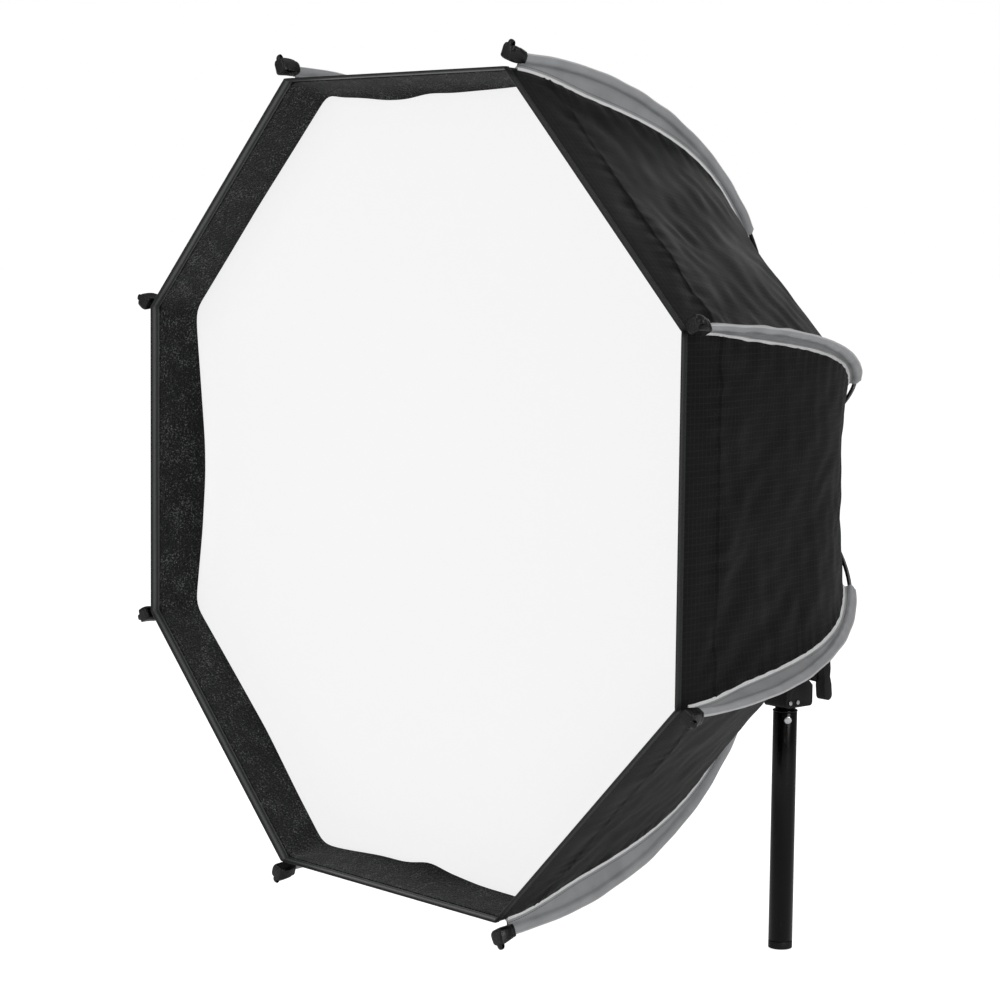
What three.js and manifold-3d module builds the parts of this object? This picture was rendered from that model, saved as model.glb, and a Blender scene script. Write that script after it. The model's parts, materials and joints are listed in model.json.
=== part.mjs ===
// A folding octagonal studio softbox with its tilting flash bracket, on the top tube of a light stand.
// Millimetres, +Z up. The origin is the centre of the flat foot of the stand tube.
// The softbox looks along -Y. Its canopy is built in a frame of its own: origin at the centre of
// the front edge, +Y to the rear, and azimuth measured from +X towards +Z.
import * as THREE from "three";
import { mergeVertices } from "three/addons/utils/BufferGeometryUtils.js";
import Module from "manifold-3d";

const wasm = await Module();
wasm.setup();

// ---------------------------------------------------------------- driving dimensions

// Fit
const GAP = 0.3; // between pieces that touch
const RUN = 0.5; // between pieces that move past each other
const SINK = 1; // how far joined bodies run into each other
const PAST = 5; // how far a cutting body runs past the piece it cuts
const FAR = 40; // reach of a cutting body that only has to clear the piece

// Canopy
const RIBS = 8;
const EDGE_RADIUS = 400; // from the axis to a corner of the front edge
const RIB_STAND_OFF = 12; // the sleeve's outer edge stands this far outside the corner
const SLEEVE_ARC = 515; // radius of the sleeve's outer edge, seen from the side
const CLOTH = 1.2; // thickness of the cloth panels
const FIN_TIP = 14; // width of the sleeve's fin at the front
const FIN_BELLY = 25; // at its widest
const FIN_BACK = 13; // at the rear
const FIN_BELLY_ANGLE = 13.5; // degrees along the arc
const FIN_SETTLE_ANGLE = 38;
const SLEEVE_END_ANGLE = 46;
const FIN_THICKNESS = 1.6;
const ARC_STEP = 4; // degrees between the stations of a bowed piece
const LIP_DEPTH = 50; // the diffuser sits this far behind the front edge
const HEM_WIDTH = 24; // the diffuser's fastening tape
const HEM_THICKNESS = 1;
const HEM_TO_CLOTH = 1; // room between the tape and the lip
const DIFFUSER_THICKNESS = 1.2;

// Ribs
const ROD_RADIUS = 2;
const ROD_DEPTH = 6; // rod centre below the sleeve's outer edge
const ROD_START = 4; // the rod's tip, behind the front edge
const EYE_RADIUS = 4.5;
const EYE_WIDTH = 5;
const CAP_FRONT = 2.5; // the tip cap stands this far in front of the front edge
const CAP_BACK = 17;
const CAP_WIDTH = 14;
const CAP_PROUD = 6; // the cap's nose stands this far outside the sleeve
const CAP_UNDER = 3.5; // cap below the rod's centre
const POCKET_WALL = 0.9; // cloth round the rod's channel

// Hub
const HINGE_RADIUS = 78; // from the axis to each rib's hinge
const WIRE_RADIUS = 1.5;
const HUB_BORE = 58;
const HUB_RIM = 14; // hub edge outside the hinges
const PLATE_DEPTH = 12;
const COVER_DEPTH = 8;
const COVER_RIM = 10;
const HUB_BEVEL = 2;
const BORE_BEVEL = 1;
const CLOTH_TO_COVER = 4; // the panels stop this far in front of the hub cover
const HUB_SIDES = 40;
const HUB_SCREW_RADIUS = 2;
const HUB_SCREW_SPREAD = 9;
const HUB_SCREW_BITE = 8; // length of screw inside the plate
const HUB_SCREW_HEAD = 2.3; // height of its head
const HUB_SCREW_HEAD_RADIUS = 3.8;

// Stand tube and spigot
const TUBE_RADIUS = 12.5;
const TUBE_WALL = 1.5;
const TUBE_TOP = 249;
const FOOT_FLANGE = 8;
const FOOT_PLUG = 22;
const CAP_RING = 2;
const CAP_RING_PROUD = 0.4;
const NECK_HEIGHT = 3.3;
const NECK_RADIUS = 10.5;
const SPIGOT_RADIUS = 8;
const SPIGOT_HEIGHT = 25; // above the tube
const SPIGOT_ROOT = 50; // inside the tube
const RIVET_DROP = 7; // below the tube's top
const RIVET_RADIUS = 2;
const RIVET_HEAD = 4;
const RIVET_HEAD_HEIGHT = 1.6;
const RIVET_AZIMUTH = 55; // degrees from -Y towards +X

// Tilt joint
const TILT_RISE = 42; // tilt axis above the tube's top
const KNUCKLE_BACK = 4.5; // tilt axis behind the tube's axis
const BLOCK_WIDTH = 31;
const BLOCK_DEPTH = 40;
const BLOCK_CORNER = 4;
const SHOULDER_RISE = 4; // shoulder above the yoke's floor
const SHOULDER_SLOPE = 5;
const EAR_RADIUS = 14.5;
const KNUCKLE_RADIUS = 13;
const KNUCKLE_WIDTH = 10.4;
const TILT_SCREW_RADIUS = 3;
const HANDLE_OUT = 41; // inner face of the T-handle, from the middle
const HANDLE_THICKNESS = 12;
const HANDLE_REACH = 24;
const HANDLE_LOBE = 5.5;
const HANDLE_LEAN = 6; // degrees
const HANDLE_WAIST = 0.72; // half width of the waist, as a share of a lobe's
const HANDLE_SHOULDER = 0.45; // where the waist ends, as a share of the lobe's reach
const HANDLE_BOSS = 5.4; // radius at the washer
const HANDLE_BOSS_OUT = 6.8; // and at the bar
const SCREW_END = 4; // the tilt screw's tip inside the bar
const NUT_RADIUS = 6;
const NUT_DEPTH = 4;
const WASHER_RADIUS = 7;
const WASHER = 1.6;
const LOCK_HEIGHT = 11; // stand lock screw above the block's bottom
const LOCK_KNOB_RADIUS = 9;
const LOCK_KNOB_LENGTH = 14;
const LOCK_BOSS = 5; // its boss's radius and length
const FLUTE_AT = 1.18; // a flute's middle, as a share of a knob's radius
const FLUTE_SHARE = 0.34; // a flute's own radius
const SIDE_SCREW_RADIUS = 1.6;
const SIDE_SCREW_HEAD = 1.1;
const SIDE_SCREW_INSET = 5.5; // from the block's front and bottom
const SIDE_SCREW_SPACING = 11;

// Arm and flash bracket
const ARM_RISE = 219; // softbox axis above the tilt axis
const HUB_TO_STAND = 61.3; // rib hinges in front of the tube's axis
const ARM_WIDTH = 32;
const ARM_PLATE = 6;
const ARM_ROOT = 17; // the arm's flat plate starts this far above the tilt axis
const WEB_HALF = 7; // half the depth of the web above the knuckle
const SHOE_DROP = 104; // shoe floor below the softbox axis
const RAIL_WIDTH = 24;
const RAIL_PLATE = 5;
const RAIL_LENGTH = 56;
const RAIL_TAB = 34;
const SLOT_WIDTH = 7;
const SLOT_MARGIN = 6; // from the slot to the rail's end
const BOLT_HEAD_RADIUS = 5.2;
const BOLT_HEAD = 3;
const BOLT_END = 6; // bolt past the rail's tab
const WING_NUT_RADIUS = 6.2;
const WING_NUT_HEIGHT = 5;
const WING_REACH = 14;
const WING_HALF = 2.6;
const WING_PLATE = 3.4;
const CARRIAGE_WIDTH = 30;
const CARRIAGE_LENGTH = 26;
const CARRIAGE_HEIGHT = 8;
const CARRIAGE_AT = 32; // middle of the carriage behind the arm
const SHOE_INNER = 18.8; // width between the shoe's side walls
const SHOE_MOUTH = 12.8; // width between its lips
const SHOE_LENGTH = 20;
const SHOE_SLOT = 2.1;
const SHOE_METAL = 1.5;
const PAD_MARGIN = 0.8; // between the shoe's pad and its mouth
const PAD_RISE = 0.25;
const KNOB_RADIUS = 11;
const KNOB_HEIGHT = 12;
const KNOB_FLUTES = 7;

// ---------------------------------------------------------------- sizes that follow

const STEP = (2 * Math.PI) / RIBS;
const HALF = STEP / 2;
const ARC_CENTRE = EDGE_RADIUS + RIB_STAND_OFF - SLEEVE_ARC;
const ROD_ARC = SLEEVE_ARC - ROD_DEPTH;
const HINGE_ANGLE = Math.acos((HINGE_RADIUS - ARC_CENTRE) / ROD_ARC);
const HINGE_DEPTH = ROD_ARC * Math.sin(HINGE_ANGLE);
const TILT_Z = TUBE_TOP + TILT_RISE;
const AXIS_Z = TILT_Z + ARM_RISE;
const FRONT_Y = -HUB_TO_STAND - HINGE_DEPTH;
const BLOCK_BOTTOM = TUBE_TOP + CAP_RING + NECK_HEIGHT + 2 * GAP;
const LOCK_Z = BLOCK_BOTTOM + LOCK_HEIGHT;

const radians = THREE.MathUtils.degToRad;
const smooth = THREE.MathUtils.smoothstep;
const lerp = THREE.MathUtils.lerp;

// ---------------------------------------------------------------- materials

function finish(color, roughness, metalness) {
  return new THREE.MeshStandardMaterial({ color, roughness, metalness });
}

const finishes = {
  panel: finish(0x232325, 0.75, 0),
  sleeve: finish(0x84878b, 0.45, 0),
  diffuser: finish(0xf3f3f3, 0.8, 0),
  hem: finish(0x1c1c1d, 0.95, 0),
  leather: finish(0x141415, 0.35, 0),
  rod: finish(0x17181a, 0.35, 0.4),
  wire: finish(0x9a9da1, 0.3, 1),
  hub: finish(0x1b1b1d, 0.5, 0),
  tube: finish(0x101113, 0.35, 0.3),
  bracket: finish(0x18181a, 0.45, 0.2),
  knob: finish(0x1d1d1f, 0.4, 0),
  bright: finish(0xc9ccd0, 0.2, 1),
};

// ---------------------------------------------------------------- helpers

const root = new THREE.Group();

function addMesh(parent, name, geometry, material) {
  const mesh = new THREE.Mesh(geometry, material);
  mesh.name = name;
  parent.add(mesh);
  return mesh;
}

function bare(geometry) {
  const g = geometry.clone();
  for (const name of Object.keys(g.attributes)) {
    if (name !== "position") g.deleteAttribute(name);
  }
  return mergeVertices(g, 1e-4);
}

function toSolid(geometry) {
  const g = bare(geometry);
  const mesh = new wasm.Mesh({
    numProp: 3,
    vertProperties: new Float32Array(g.attributes.position.array),
    triVerts: new Uint32Array(g.index.array),
  });
  return new wasm.Manifold(mesh);
}

function toGeometry(solid) {
  const mesh = solid.getMesh();
  const positions = new Float32Array(mesh.numVert * 3);
  for (let i = 0; i < mesh.numVert; i++) {
    const from = i * mesh.numProp;
    positions.set(mesh.vertProperties.subarray(from, from + 3), i * 3);
  }
  const g = new THREE.BufferGeometry();
  g.setAttribute("position", new THREE.BufferAttribute(positions, 3));
  g.setIndex(new THREE.BufferAttribute(new Uint32Array(mesh.triVerts), 1));
  g.computeVertexNormals();
  return g;
}

function join(first, ...others) {
  let solid = toSolid(first);
  for (const other of others) solid = solid.add(toSolid(other));
  return toGeometry(solid);
}

function cut(first, ...others) {
  let solid = toSolid(first);
  for (const other of others) solid = solid.subtract(toSolid(other));
  return toGeometry(solid);
}

// A box given by its lowest and highest corners.
function box(x0, x1, y0, y1, z0, z1) {
  const g = new THREE.BoxGeometry(x1 - x0, y1 - y0, z1 - z0);
  return g.translate((x0 + x1) / 2, (y0 + y1) / 2, (z0 + z1) / 2);
}

// Cylinders between two values on an axis.
function cylinderZ(radius, z0, z1, x = 0, y = 0, sides = 36) {
  const g = new THREE.CylinderGeometry(radius, radius, z1 - z0, sides);
  return g.rotateX(Math.PI / 2).translate(x, y, (z0 + z1) / 2);
}

function cylinderX(radius, x0, x1, y, z, sides = 24) {
  const g = new THREE.CylinderGeometry(radius, radius, x1 - x0, sides);
  return g.rotateZ(-Math.PI / 2).translate((x0 + x1) / 2, y, z);
}

function cylinderY(radius, y0, y1, x, z, sides = 16) {
  const g = new THREE.CylinderGeometry(radius, radius, y1 - y0, sides);
  return g.translate(x, (y0 + y1) / 2, z);
}

// A body turned about the canopy's axis, from a profile of [radius, y] points. It is a ring if the
// profile is closed, with flat sides if it has only a few.
function turned(profile, sides, start = 0) {
  const points = profile.map(([r, y]) => new THREE.Vector2(r, y));
  return facingOut(new THREE.LatheGeometry(points, sides, start));
}

function ringAboutY(profile, sides, start = 0) {
  return turned([...profile, profile[0]], sides, start);
}

// A closed solid through a row of loops that all have as many points as the section.
function loft(loops, section) {
  const count = section.length;
  const positions = loops.flat(2);
  const index = [];
  for (let i = 0; i + 1 < loops.length; i++) {
    for (let j = 0; j < count; j++) {
      const a = i * count + j;
      const b = i * count + ((j + 1) % count);
      index.push(a, b, b + count, a, b + count, a + count);
    }
  }
  const outline = section.map(([u, v]) => new THREE.Vector2(u, v));
  const last = (loops.length - 1) * count;
  for (const [a, b, c] of THREE.ShapeUtils.triangulateShape(outline, [])) {
    index.push(c, b, a, last + a, last + b, last + c);
  }
  const g = new THREE.BufferGeometry();
  g.setAttribute("position", new THREE.Float32BufferAttribute(positions, 3));
  g.setIndex(index);
  return facingOut(g);
}

function volumeOf(g) {
  const at = (i) => new THREE.Vector3().fromBufferAttribute(g.attributes.position, i);
  let volume = 0;
  for (let i = 0; i < g.index.count; i += 3) {
    const [a, b, c] = [0, 1, 2].map((k) => at(g.index.getX(i + k)));
    volume += a.dot(b.cross(c)) / 6;
  }
  return volume;
}

// The same body with its faces pointing out.
function facingOut(g) {
  if (volumeOf(g) > 0) return g;
  const order = Array.from(g.index.array);
  for (let i = 0; i < order.length; i += 3) {
    [order[i + 1], order[i + 2]] = [order[i + 2], order[i + 1]];
  }
  g.setIndex(order);
  return g;
}

// A group turned so that its +X points along an azimuth of the canopy.
function atAzimuth(parent, azimuth) {
  const group = new THREE.Group();
  group.rotation.y = -azimuth;
  parent.add(group);
  return group;
}

function range(count, from, to) {
  return Array.from({ length: count + 1 }, (_, i) => lerp(from, to, i / count));
}

// ---------------------------------------------------------------- the canopy's side view

// Width of the sleeve's fin at an angle along the arc.
function finWidth(angle) {
  const belly = radians(FIN_BELLY_ANGLE);
  if (angle < belly) return lerp(FIN_TIP, FIN_BELLY, smooth(angle, 0, belly));
  return lerp(FIN_BELLY, FIN_BACK, smooth(angle, belly, radians(FIN_SETTLE_ANGLE)));
}

// Radius and depth of a point that lies a height above the sleeve's outer edge.
function onArc(angle, height) {
  const reach = SLEEVE_ARC + height;
  return [ARC_CENTRE + reach * Math.cos(angle), reach * Math.sin(angle)];
}

// Angles from one end to the other that keep to one grid, so that a rod and its pocket bend alike.
function alongArc(from, to) {
  const step = radians(ARC_STEP);
  const angles = [from];
  for (let i = Math.ceil((from + step / 4) / step); i * step < to - step / 4; i++) angles.push(i * step);
  return [...angles, to];
}

function seam(angle, inwards = 0) {
  return onArc(angle, -finWidth(angle) - inwards);
}

// The arc angle at which a given line along the arc reaches a depth.
function angleAtDepth(depth, reach) {
  return Math.asin(depth / reach);
}

const CLOTH_END_DEPTH = HINGE_DEPTH - COVER_DEPTH - CLOTH_TO_COVER;
const CLOTH_END = angleAtDepth(CLOTH_END_DEPTH, SLEEVE_ARC - FIN_BACK);

// ---------------------------------------------------------------- canopy pieces

// One cloth panel, flat across and curved front to back, between two neighbouring ribs.
function gore() {
  const fromRib = FIN_THICKNESS / 2 + GAP + 0.1;
  const widthAt = (reach) => (reach * Math.sin(HALF) - fromRib) / Math.cos(HALF);
  const loops = range(18, 0, CLOTH_END).map((angle) => {
    const [outer, outerY] = seam(angle);
    const [inner, innerY] = seam(angle, CLOTH);
    const out = outer * Math.cos(HALF);
    const into = inner * Math.cos(HALF);
    return [
      [out, outerY, -widthAt(out)],
      [out, outerY, widthAt(out)],
      [into, innerY, widthAt(into)],
      [into, innerY, -widthAt(into)],
    ];
  });
  const section = [
    [0, -1],
    [0, 1],
    [-1, 1],
    [-1, -1],
  ];
  return loft(loops, section);
}

// A swept length of rod or channel about the rib's arc.
function roundAlongArc(radius, from, to) {
  const sides = 6;
  const section = range(sides - 1, 0, 2 * Math.PI * (1 - 1 / sides)).map((turn) => [
    radius * Math.cos(turn),
    radius * Math.sin(turn),
  ]);
  const loops = alongArc(from, to).map((angle) =>
    section.map(([u, v]) => [...onArc(angle, u - ROD_DEPTH), v]),
  );
  return loft(loops, section);
}

// The grey pocket that holds a rod, with its fin down to the seam.
function sleeve() {
  const start = angleAtDepth(CAP_BACK + RUN, ROD_ARC);
  const end = radians(SLEEVE_END_ANGLE);
  const pocket = ROD_RADIUS + RUN + POCKET_WALL;
  const fin = FIN_THICKNESS / 2;
  const sectionAt = (angle) => {
    const seamAt = -finWidth(angle) - CLOTH;
    const halfUp = [
      [0, pocket * 0.4],
      [-ROD_DEPTH + pocket * 0.6, pocket],
      [-ROD_DEPTH - pocket * 0.6, pocket],
      [-ROD_DEPTH - pocket * 1.5, fin],
      [seamAt, fin],
    ];
    const halfDown = halfUp.map(([u, v]) => [u, -v]).reverse();
    return [...halfUp, ...halfDown];
  };
  const loops = alongArc(start, end).map((angle) =>
    sectionAt(angle).map(([u, v]) => [...onArc(angle, u), v]),
  );
  const body = loft(loops, sectionAt(start));
  const past = radians(1);
  const channel = roundAlongArc(ROD_RADIUS + RUN, start - past, end + past);
  return cut(body, channel);
}

// A bowed rod whose rear end is an eye on the hub's hinge wire.
function ribRod() {
  const start = angleAtDepth(ROD_START, ROD_ARC);
  const rod = roundAlongArc(ROD_RADIUS, start, HINGE_ANGLE);
  const eye = new THREE.CylinderGeometry(EYE_RADIUS, EYE_RADIUS, EYE_WIDTH, 12);
  const boreRadius = (WIRE_RADIUS + 0.25) / Math.cos(Math.PI / 12);
  const bore = new THREE.CylinderGeometry(boreRadius, boreRadius, EYE_WIDTH * 3, 12);
  for (const g of [eye, bore]) g.rotateX(Math.PI / 2).translate(HINGE_RADIUS, HINGE_DEPTH, 0);
  return cut(join(rod, eye), bore);
}

// The sewn cap on a rib's front end, a nose with a pocket for the rod.
function tipCap() {
  const [rodAt] = onArc(0, -ROD_DEPTH);
  const under = rodAt - CAP_UNDER;
  const top = EDGE_RADIUS + RIB_STAND_OFF;
  const nose = top + CAP_PROUD;
  const side = CAP_WIDTH / 2;
  const shape = new THREE.Shape();
  shape.moveTo(under, CAP_BACK);
  shape.lineTo(under, 0);
  shape.lineTo(top - 2, -CAP_FRONT);
  shape.lineTo(nose - 3, -CAP_FRONT);
  shape.quadraticCurveTo(nose + 1, -CAP_FRONT * 0.6, nose - 4, 2);
  shape.lineTo(top + 2, CAP_BACK);
  shape.closePath();
  const body = new THREE.ExtrudeGeometry(shape, {
    depth: CAP_WIDTH,
    bevelEnabled: false,
    curveSegments: 4,
  });
  body.translate(0, 0, -side);
  const pocketStart = angleAtDepth(ROD_START - 2, ROD_ARC);
  const pocketEnd = angleAtDepth(CAP_BACK + 6, ROD_ARC);
  return cut(body, roundAlongArc(ROD_RADIUS + RUN, pocketStart, pocketEnd));
}

// Radius at a corner of the lip, at a depth behind its front edge and inwards of its outer face.
function clothRadius(depth, inwards) {
  let [low, high] = [0, CLOTH_END];
  for (let i = 0; i < 40; i++) {
    const middle = (low + high) / 2;
    if (seam(middle, inwards)[1] < depth) low = middle;
    else high = middle;
  }
  return seam(low, inwards)[0];
}

// The front diffuser, a flat octagonal sheet.
function diffuser() {
  const edge = clothRadius(LIP_DEPTH, CLOTH) - HEM_TO_CLOTH - HEM_THICKNESS - GAP;
  const back = LIP_DEPTH + DIFFUSER_THICKNESS;
  const profile = [
    [0, LIP_DEPTH],
    [edge, LIP_DEPTH],
    [edge, back],
    [0, back],
  ];
  return turned(profile, RIBS, HALF);
}

// Its fastening tape, turned forwards along the inside of the lip.
function diffuserHem() {
  const back = clothRadius(LIP_DEPTH, CLOTH) - HEM_TO_CLOTH;
  const frontDepth = LIP_DEPTH - HEM_WIDTH;
  const front = clothRadius(frontDepth, CLOTH) - HEM_TO_CLOTH;
  const profile = [
    [back, LIP_DEPTH - GAP],
    [front, frontDepth],
    [front - HEM_THICKNESS, frontDepth],
    [back - HEM_THICKNESS, LIP_DEPTH - GAP],
  ];
  return ringAboutY(profile, RIBS, HALF);
}

// ---------------------------------------------------------------- hub pieces

// An octagonal loop of round wire whose straight runs lie across the ribs.
function wireLoop(radius) {
  const corner = HINGE_RADIUS / Math.cos(HALF);
  const sides = 8;
  const profile = range(sides - 1, 0, 2 * Math.PI * (1 - 1 / sides)).map((turn) => [
    corner + (radius * Math.cos(turn)) / Math.cos(HALF),
    HINGE_DEPTH + radius * Math.sin(turn),
  ]);
  return ringAboutY(profile, RIBS);
}

function ribSlots(depthBack) {
  const from = HINGE_RADIUS - EYE_RADIUS - RUN;
  const to = HINGE_RADIUS + HUB_RIM * 2;
  const half = EYE_WIDTH / 2 + RUN;
  return range(RIBS - 1, 0, RIBS - 1).map((k) => {
    const front = HINGE_DEPTH - COVER_DEPTH * 2;
    const g = box(from, to, front, HINGE_DEPTH + depthBack, -half, half);
    return g.rotateY(-(k + 0.5) * STEP);
  });
}

function hubScrewHoles() {
  return [-1, 1].map((side) => {
    const z = -(HUB_BORE + HINGE_RADIUS + HUB_RIM) / 2;
    const x = side * HUB_SCREW_SPREAD;
    const from = HINGE_DEPTH + PLATE_DEPTH - HUB_SCREW_BITE;
    return cylinderY(HUB_SCREW_RADIUS + GAP, from, from + FAR, x, z, 12);
  });
}

// The rear half of the hub, with a pocket for each rib's eye.
function hubPlate() {
  const outer = HINGE_RADIUS + HUB_RIM;
  const front = HINGE_DEPTH + GAP / 2;
  const back = HINGE_DEPTH + PLATE_DEPTH;
  const body = ringAboutY(
    [
      [HUB_BORE, front],
      [outer, front],
      [outer, back - HUB_BEVEL],
      [outer - HUB_BEVEL, back],
      [HUB_BORE + BORE_BEVEL, back],
      [HUB_BORE, back - BORE_BEVEL],
    ],
    HUB_SIDES,
  );
  const eyeDepth = EYE_RADIUS + RUN;
  return cut(body, wireLoop(WIRE_RADIUS + GAP), ...ribSlots(eyeDepth), ...hubScrewHoles());
}

// The front half of the hub, which traps the hinge wire.
function hubCover() {
  const outer = HINGE_RADIUS + COVER_RIM;
  const front = HINGE_DEPTH - COVER_DEPTH;
  const back = HINGE_DEPTH - GAP / 2;
  const body = ringAboutY(
    [
      [HUB_BORE, front + BORE_BEVEL],
      [HUB_BORE + BORE_BEVEL, front],
      [outer - HUB_BEVEL, front],
      [outer, front + HUB_BEVEL],
      [outer, back],
      [HUB_BORE, back],
    ],
    HUB_SIDES,
  );
  return cut(body, wireLoop(WIRE_RADIUS + GAP), ...ribSlots(EYE_RADIUS));
}

// ---------------------------------------------------------------- assembling the canopy

const canopy = new THREE.Group();
canopy.position.set(0, FRONT_Y, AXIS_Z);
root.add(canopy);

const goreShape = gore();
const sleeveShape = sleeve();
const rodShape = ribRod();
const capShape = tipCap();
for (let k = 0; k < RIBS; k++) {
  const number = k + 1;
  const rib = atAzimuth(canopy, (k + 0.5) * STEP);
  addMesh(rib, `rib_rod_${number}`, rodShape, finishes.rod);
  addMesh(rib, `rib_sleeve_${number}`, sleeveShape, finishes.sleeve);
  addMesh(rib, `rib_tip_cap_${number}`, capShape, finishes.leather);
  const side = atAzimuth(canopy, (k + 1) * STEP);
  addMesh(side, `canopy_panel_${number}`, goreShape, finishes.panel);
}
addMesh(canopy, "front_diffuser", diffuser(), finishes.diffuser);
addMesh(canopy, "diffuser_hem", diffuserHem(), finishes.hem);
addMesh(canopy, "hinge_wire", wireLoop(WIRE_RADIUS), finishes.wire);
addMesh(canopy, "hub_plate", hubPlate(), finishes.hub);
addMesh(canopy, "hub_cover", hubCover(), finishes.hub);

// ---------------------------------------------------------------- stand tube

const bore = TUBE_RADIUS - TUBE_WALL;
const rivetZ = TUBE_TOP - RIVET_DROP;

function aboutRivet(geometry) {
  return geometry.rotateZ(radians(RIVET_AZIMUTH)).translate(0, 0, rivetZ);
}

function rivetHole() {
  return aboutRivet(cylinderY(RIVET_RADIUS + GAP, -FAR, FAR, 0, 0, 16));
}

const tubeBody = cylinderZ(TUBE_RADIUS, FOOT_FLANGE + GAP, TUBE_TOP, 0, 0, 32);
const tubeBore = cylinderZ(bore, 0, TUBE_TOP + PAST, 0, 0, 32);
addMesh(root, "stand_tube", cut(tubeBody, tubeBore, rivetHole()), finishes.tube);

const flange = cylinderZ(TUBE_RADIUS, 0, FOOT_FLANGE, 0, 0, 32);
const plug = cylinderZ(bore - GAP, FOOT_FLANGE - SINK, FOOT_FLANGE + FOOT_PLUG, 0, 0, 32);
addMesh(root, "tube_foot_plug", join(flange, plug), finishes.knob);

const rootPart = cylinderZ(bore - GAP, TUBE_TOP - SPIGOT_ROOT, TUBE_TOP, 0, 0, 32);
const stud = cylinderZ(SPIGOT_RADIUS, TUBE_TOP - PAST, TUBE_TOP + SPIGOT_HEIGHT, 0, 0, 32);
addMesh(root, "spigot", cut(join(rootPart, stud), rivetHole()), finishes.bright);

const capTop = TUBE_TOP + GAP + CAP_RING;
const ring = cylinderZ(TUBE_RADIUS + CAP_RING_PROUD, TUBE_TOP + GAP, capTop, 0, 0, 32);
const neck = cylinderZ(NECK_RADIUS, capTop - SINK, capTop + NECK_HEIGHT, 0, 0, 32);
const through = cylinderZ(SPIGOT_RADIUS + GAP, TUBE_TOP - PAST, capTop + FAR, 0, 0, 32);
addMesh(root, "tube_top_ring", cut(join(ring, neck), through), finishes.tube);

function rivet() {
  const reach = TUBE_RADIUS + GAP;
  const shank = cylinderY(RIVET_RADIUS, -reach - SINK, reach + SINK, 0, 0, 16);
  const heads = [-1, 1].map((side) => {
    const y0 = side < 0 ? -reach - RIVET_HEAD_HEIGHT : reach;
    return cylinderY(RIVET_HEAD, y0, y0 + RIVET_HEAD_HEIGHT, 0, 0, 24);
  });
  return aboutRivet(join(shank, ...heads));
}
addMesh(root, "spigot_rivet", rivet(), finishes.bright);

// ---------------------------------------------------------------- swivel block

const blockFront = KNUCKLE_BACK - BLOCK_DEPTH / 2;
const blockRear = KNUCKLE_BACK + BLOCK_DEPTH / 2;
const blockHalf = BLOCK_WIDTH / 2;
const yokeFloor = TILT_Z - KNUCKLE_RADIUS - RUN;
const yokeHalf = KNUCKLE_WIDTH / 2 + RUN;
const spigotTop = TUBE_TOP + SPIGOT_HEIGHT;

// A nut across the tilt axis: a six-sided bar.
function hexX(radius, x0, x1) {
  return cylinderX(radius, x0, x1, KNUCKLE_BACK, TILT_Z, 6);
}

function swivelBlock() {
  const shape = new THREE.Shape();
  const shoulder = yokeFloor + SHOULDER_RISE;
  const corner = BLOCK_CORNER;
  shape.moveTo(blockFront + corner, BLOCK_BOTTOM);
  shape.lineTo(blockRear - corner, BLOCK_BOTTOM);
  shape.absarc(blockRear - corner, BLOCK_BOTTOM + corner, corner, -Math.PI / 2, 0);
  shape.lineTo(blockRear, shoulder - SHOULDER_SLOPE);
  shape.lineTo(KNUCKLE_BACK + EAR_RADIUS, shoulder);
  shape.absarc(KNUCKLE_BACK, TILT_Z, EAR_RADIUS, 0, Math.PI);
  shape.lineTo(KNUCKLE_BACK - EAR_RADIUS, shoulder);
  shape.lineTo(blockFront, shoulder - SHOULDER_SLOPE);
  shape.lineTo(blockFront, BLOCK_BOTTOM + corner);
  shape.absarc(blockFront + corner, BLOCK_BOTTOM + corner, corner, Math.PI, Math.PI * 1.5);
  const body = new THREE.ExtrudeGeometry(shape, {
    depth: BLOCK_WIDTH,
    bevelEnabled: false,
    curveSegments: 8,
  });
  // The outline is drawn across Y and Z and drawn out along X.
  const turn = new THREE.Matrix4().makeBasis(
    new THREE.Vector3(0, 1, 0),
    new THREE.Vector3(0, 0, 1),
    new THREE.Vector3(1, 0, 0),
  );
  body.applyMatrix4(turn).translate(-blockHalf, 0, 0);
  const wide = BLOCK_DEPTH;
  const highest = TILT_Z + EAR_RADIUS * 2;
  const yoke = box(-yokeHalf, yokeHalf, -wide, wide, yokeFloor, highest);
  const socket = cylinderZ(SPIGOT_RADIUS + GAP, BLOCK_BOTTOM - PAST, spigotTop + GAP, 0, 0, 32);
  const pivot = cylinderX(TILT_SCREW_RADIUS + GAP, -FAR, FAR, KNUCKLE_BACK, TILT_Z, 16);
  const nutPocket = hexX(NUT_RADIUS + GAP, -FAR, -blockHalf + NUT_DEPTH);
  const lock = cylinderX(TILT_SCREW_RADIUS + GAP, -FAR, 0, 0, LOCK_Z, 16);
  const screws = sideScrewPlaces().map(([y, z]) =>
    cylinderX(SIDE_SCREW_RADIUS + GAP, blockHalf - 4, blockHalf + PAST, y, z, 12),
  );
  return cut(body, yoke, socket, pivot, nutPocket, lock, ...screws);
}

// Two small screws low on the block's right side, in front of its middle.
function sideScrewPlaces() {
  const y = blockFront + SIDE_SCREW_INSET;
  const z = BLOCK_BOTTOM + SIDE_SCREW_INSET;
  return [
    [y, z],
    [y + SIDE_SCREW_SPACING, z],
  ];
}

addMesh(root, "swivel_block", swivelBlock(), finishes.bracket);
sideScrewPlaces().forEach(([y, z], i) => {
  const seat = blockHalf + GAP;
  const shank = cylinderX(SIDE_SCREW_RADIUS, blockHalf - 3, seat + GAP, y, z, 12);
  const head = cylinderX(SIDE_SCREW_RADIUS * 1.5, seat, seat + SIDE_SCREW_HEAD, y, z, 12);
  addMesh(root, `block_screw_${i + 1}`, join(shank, head), finishes.bright);
});

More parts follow.
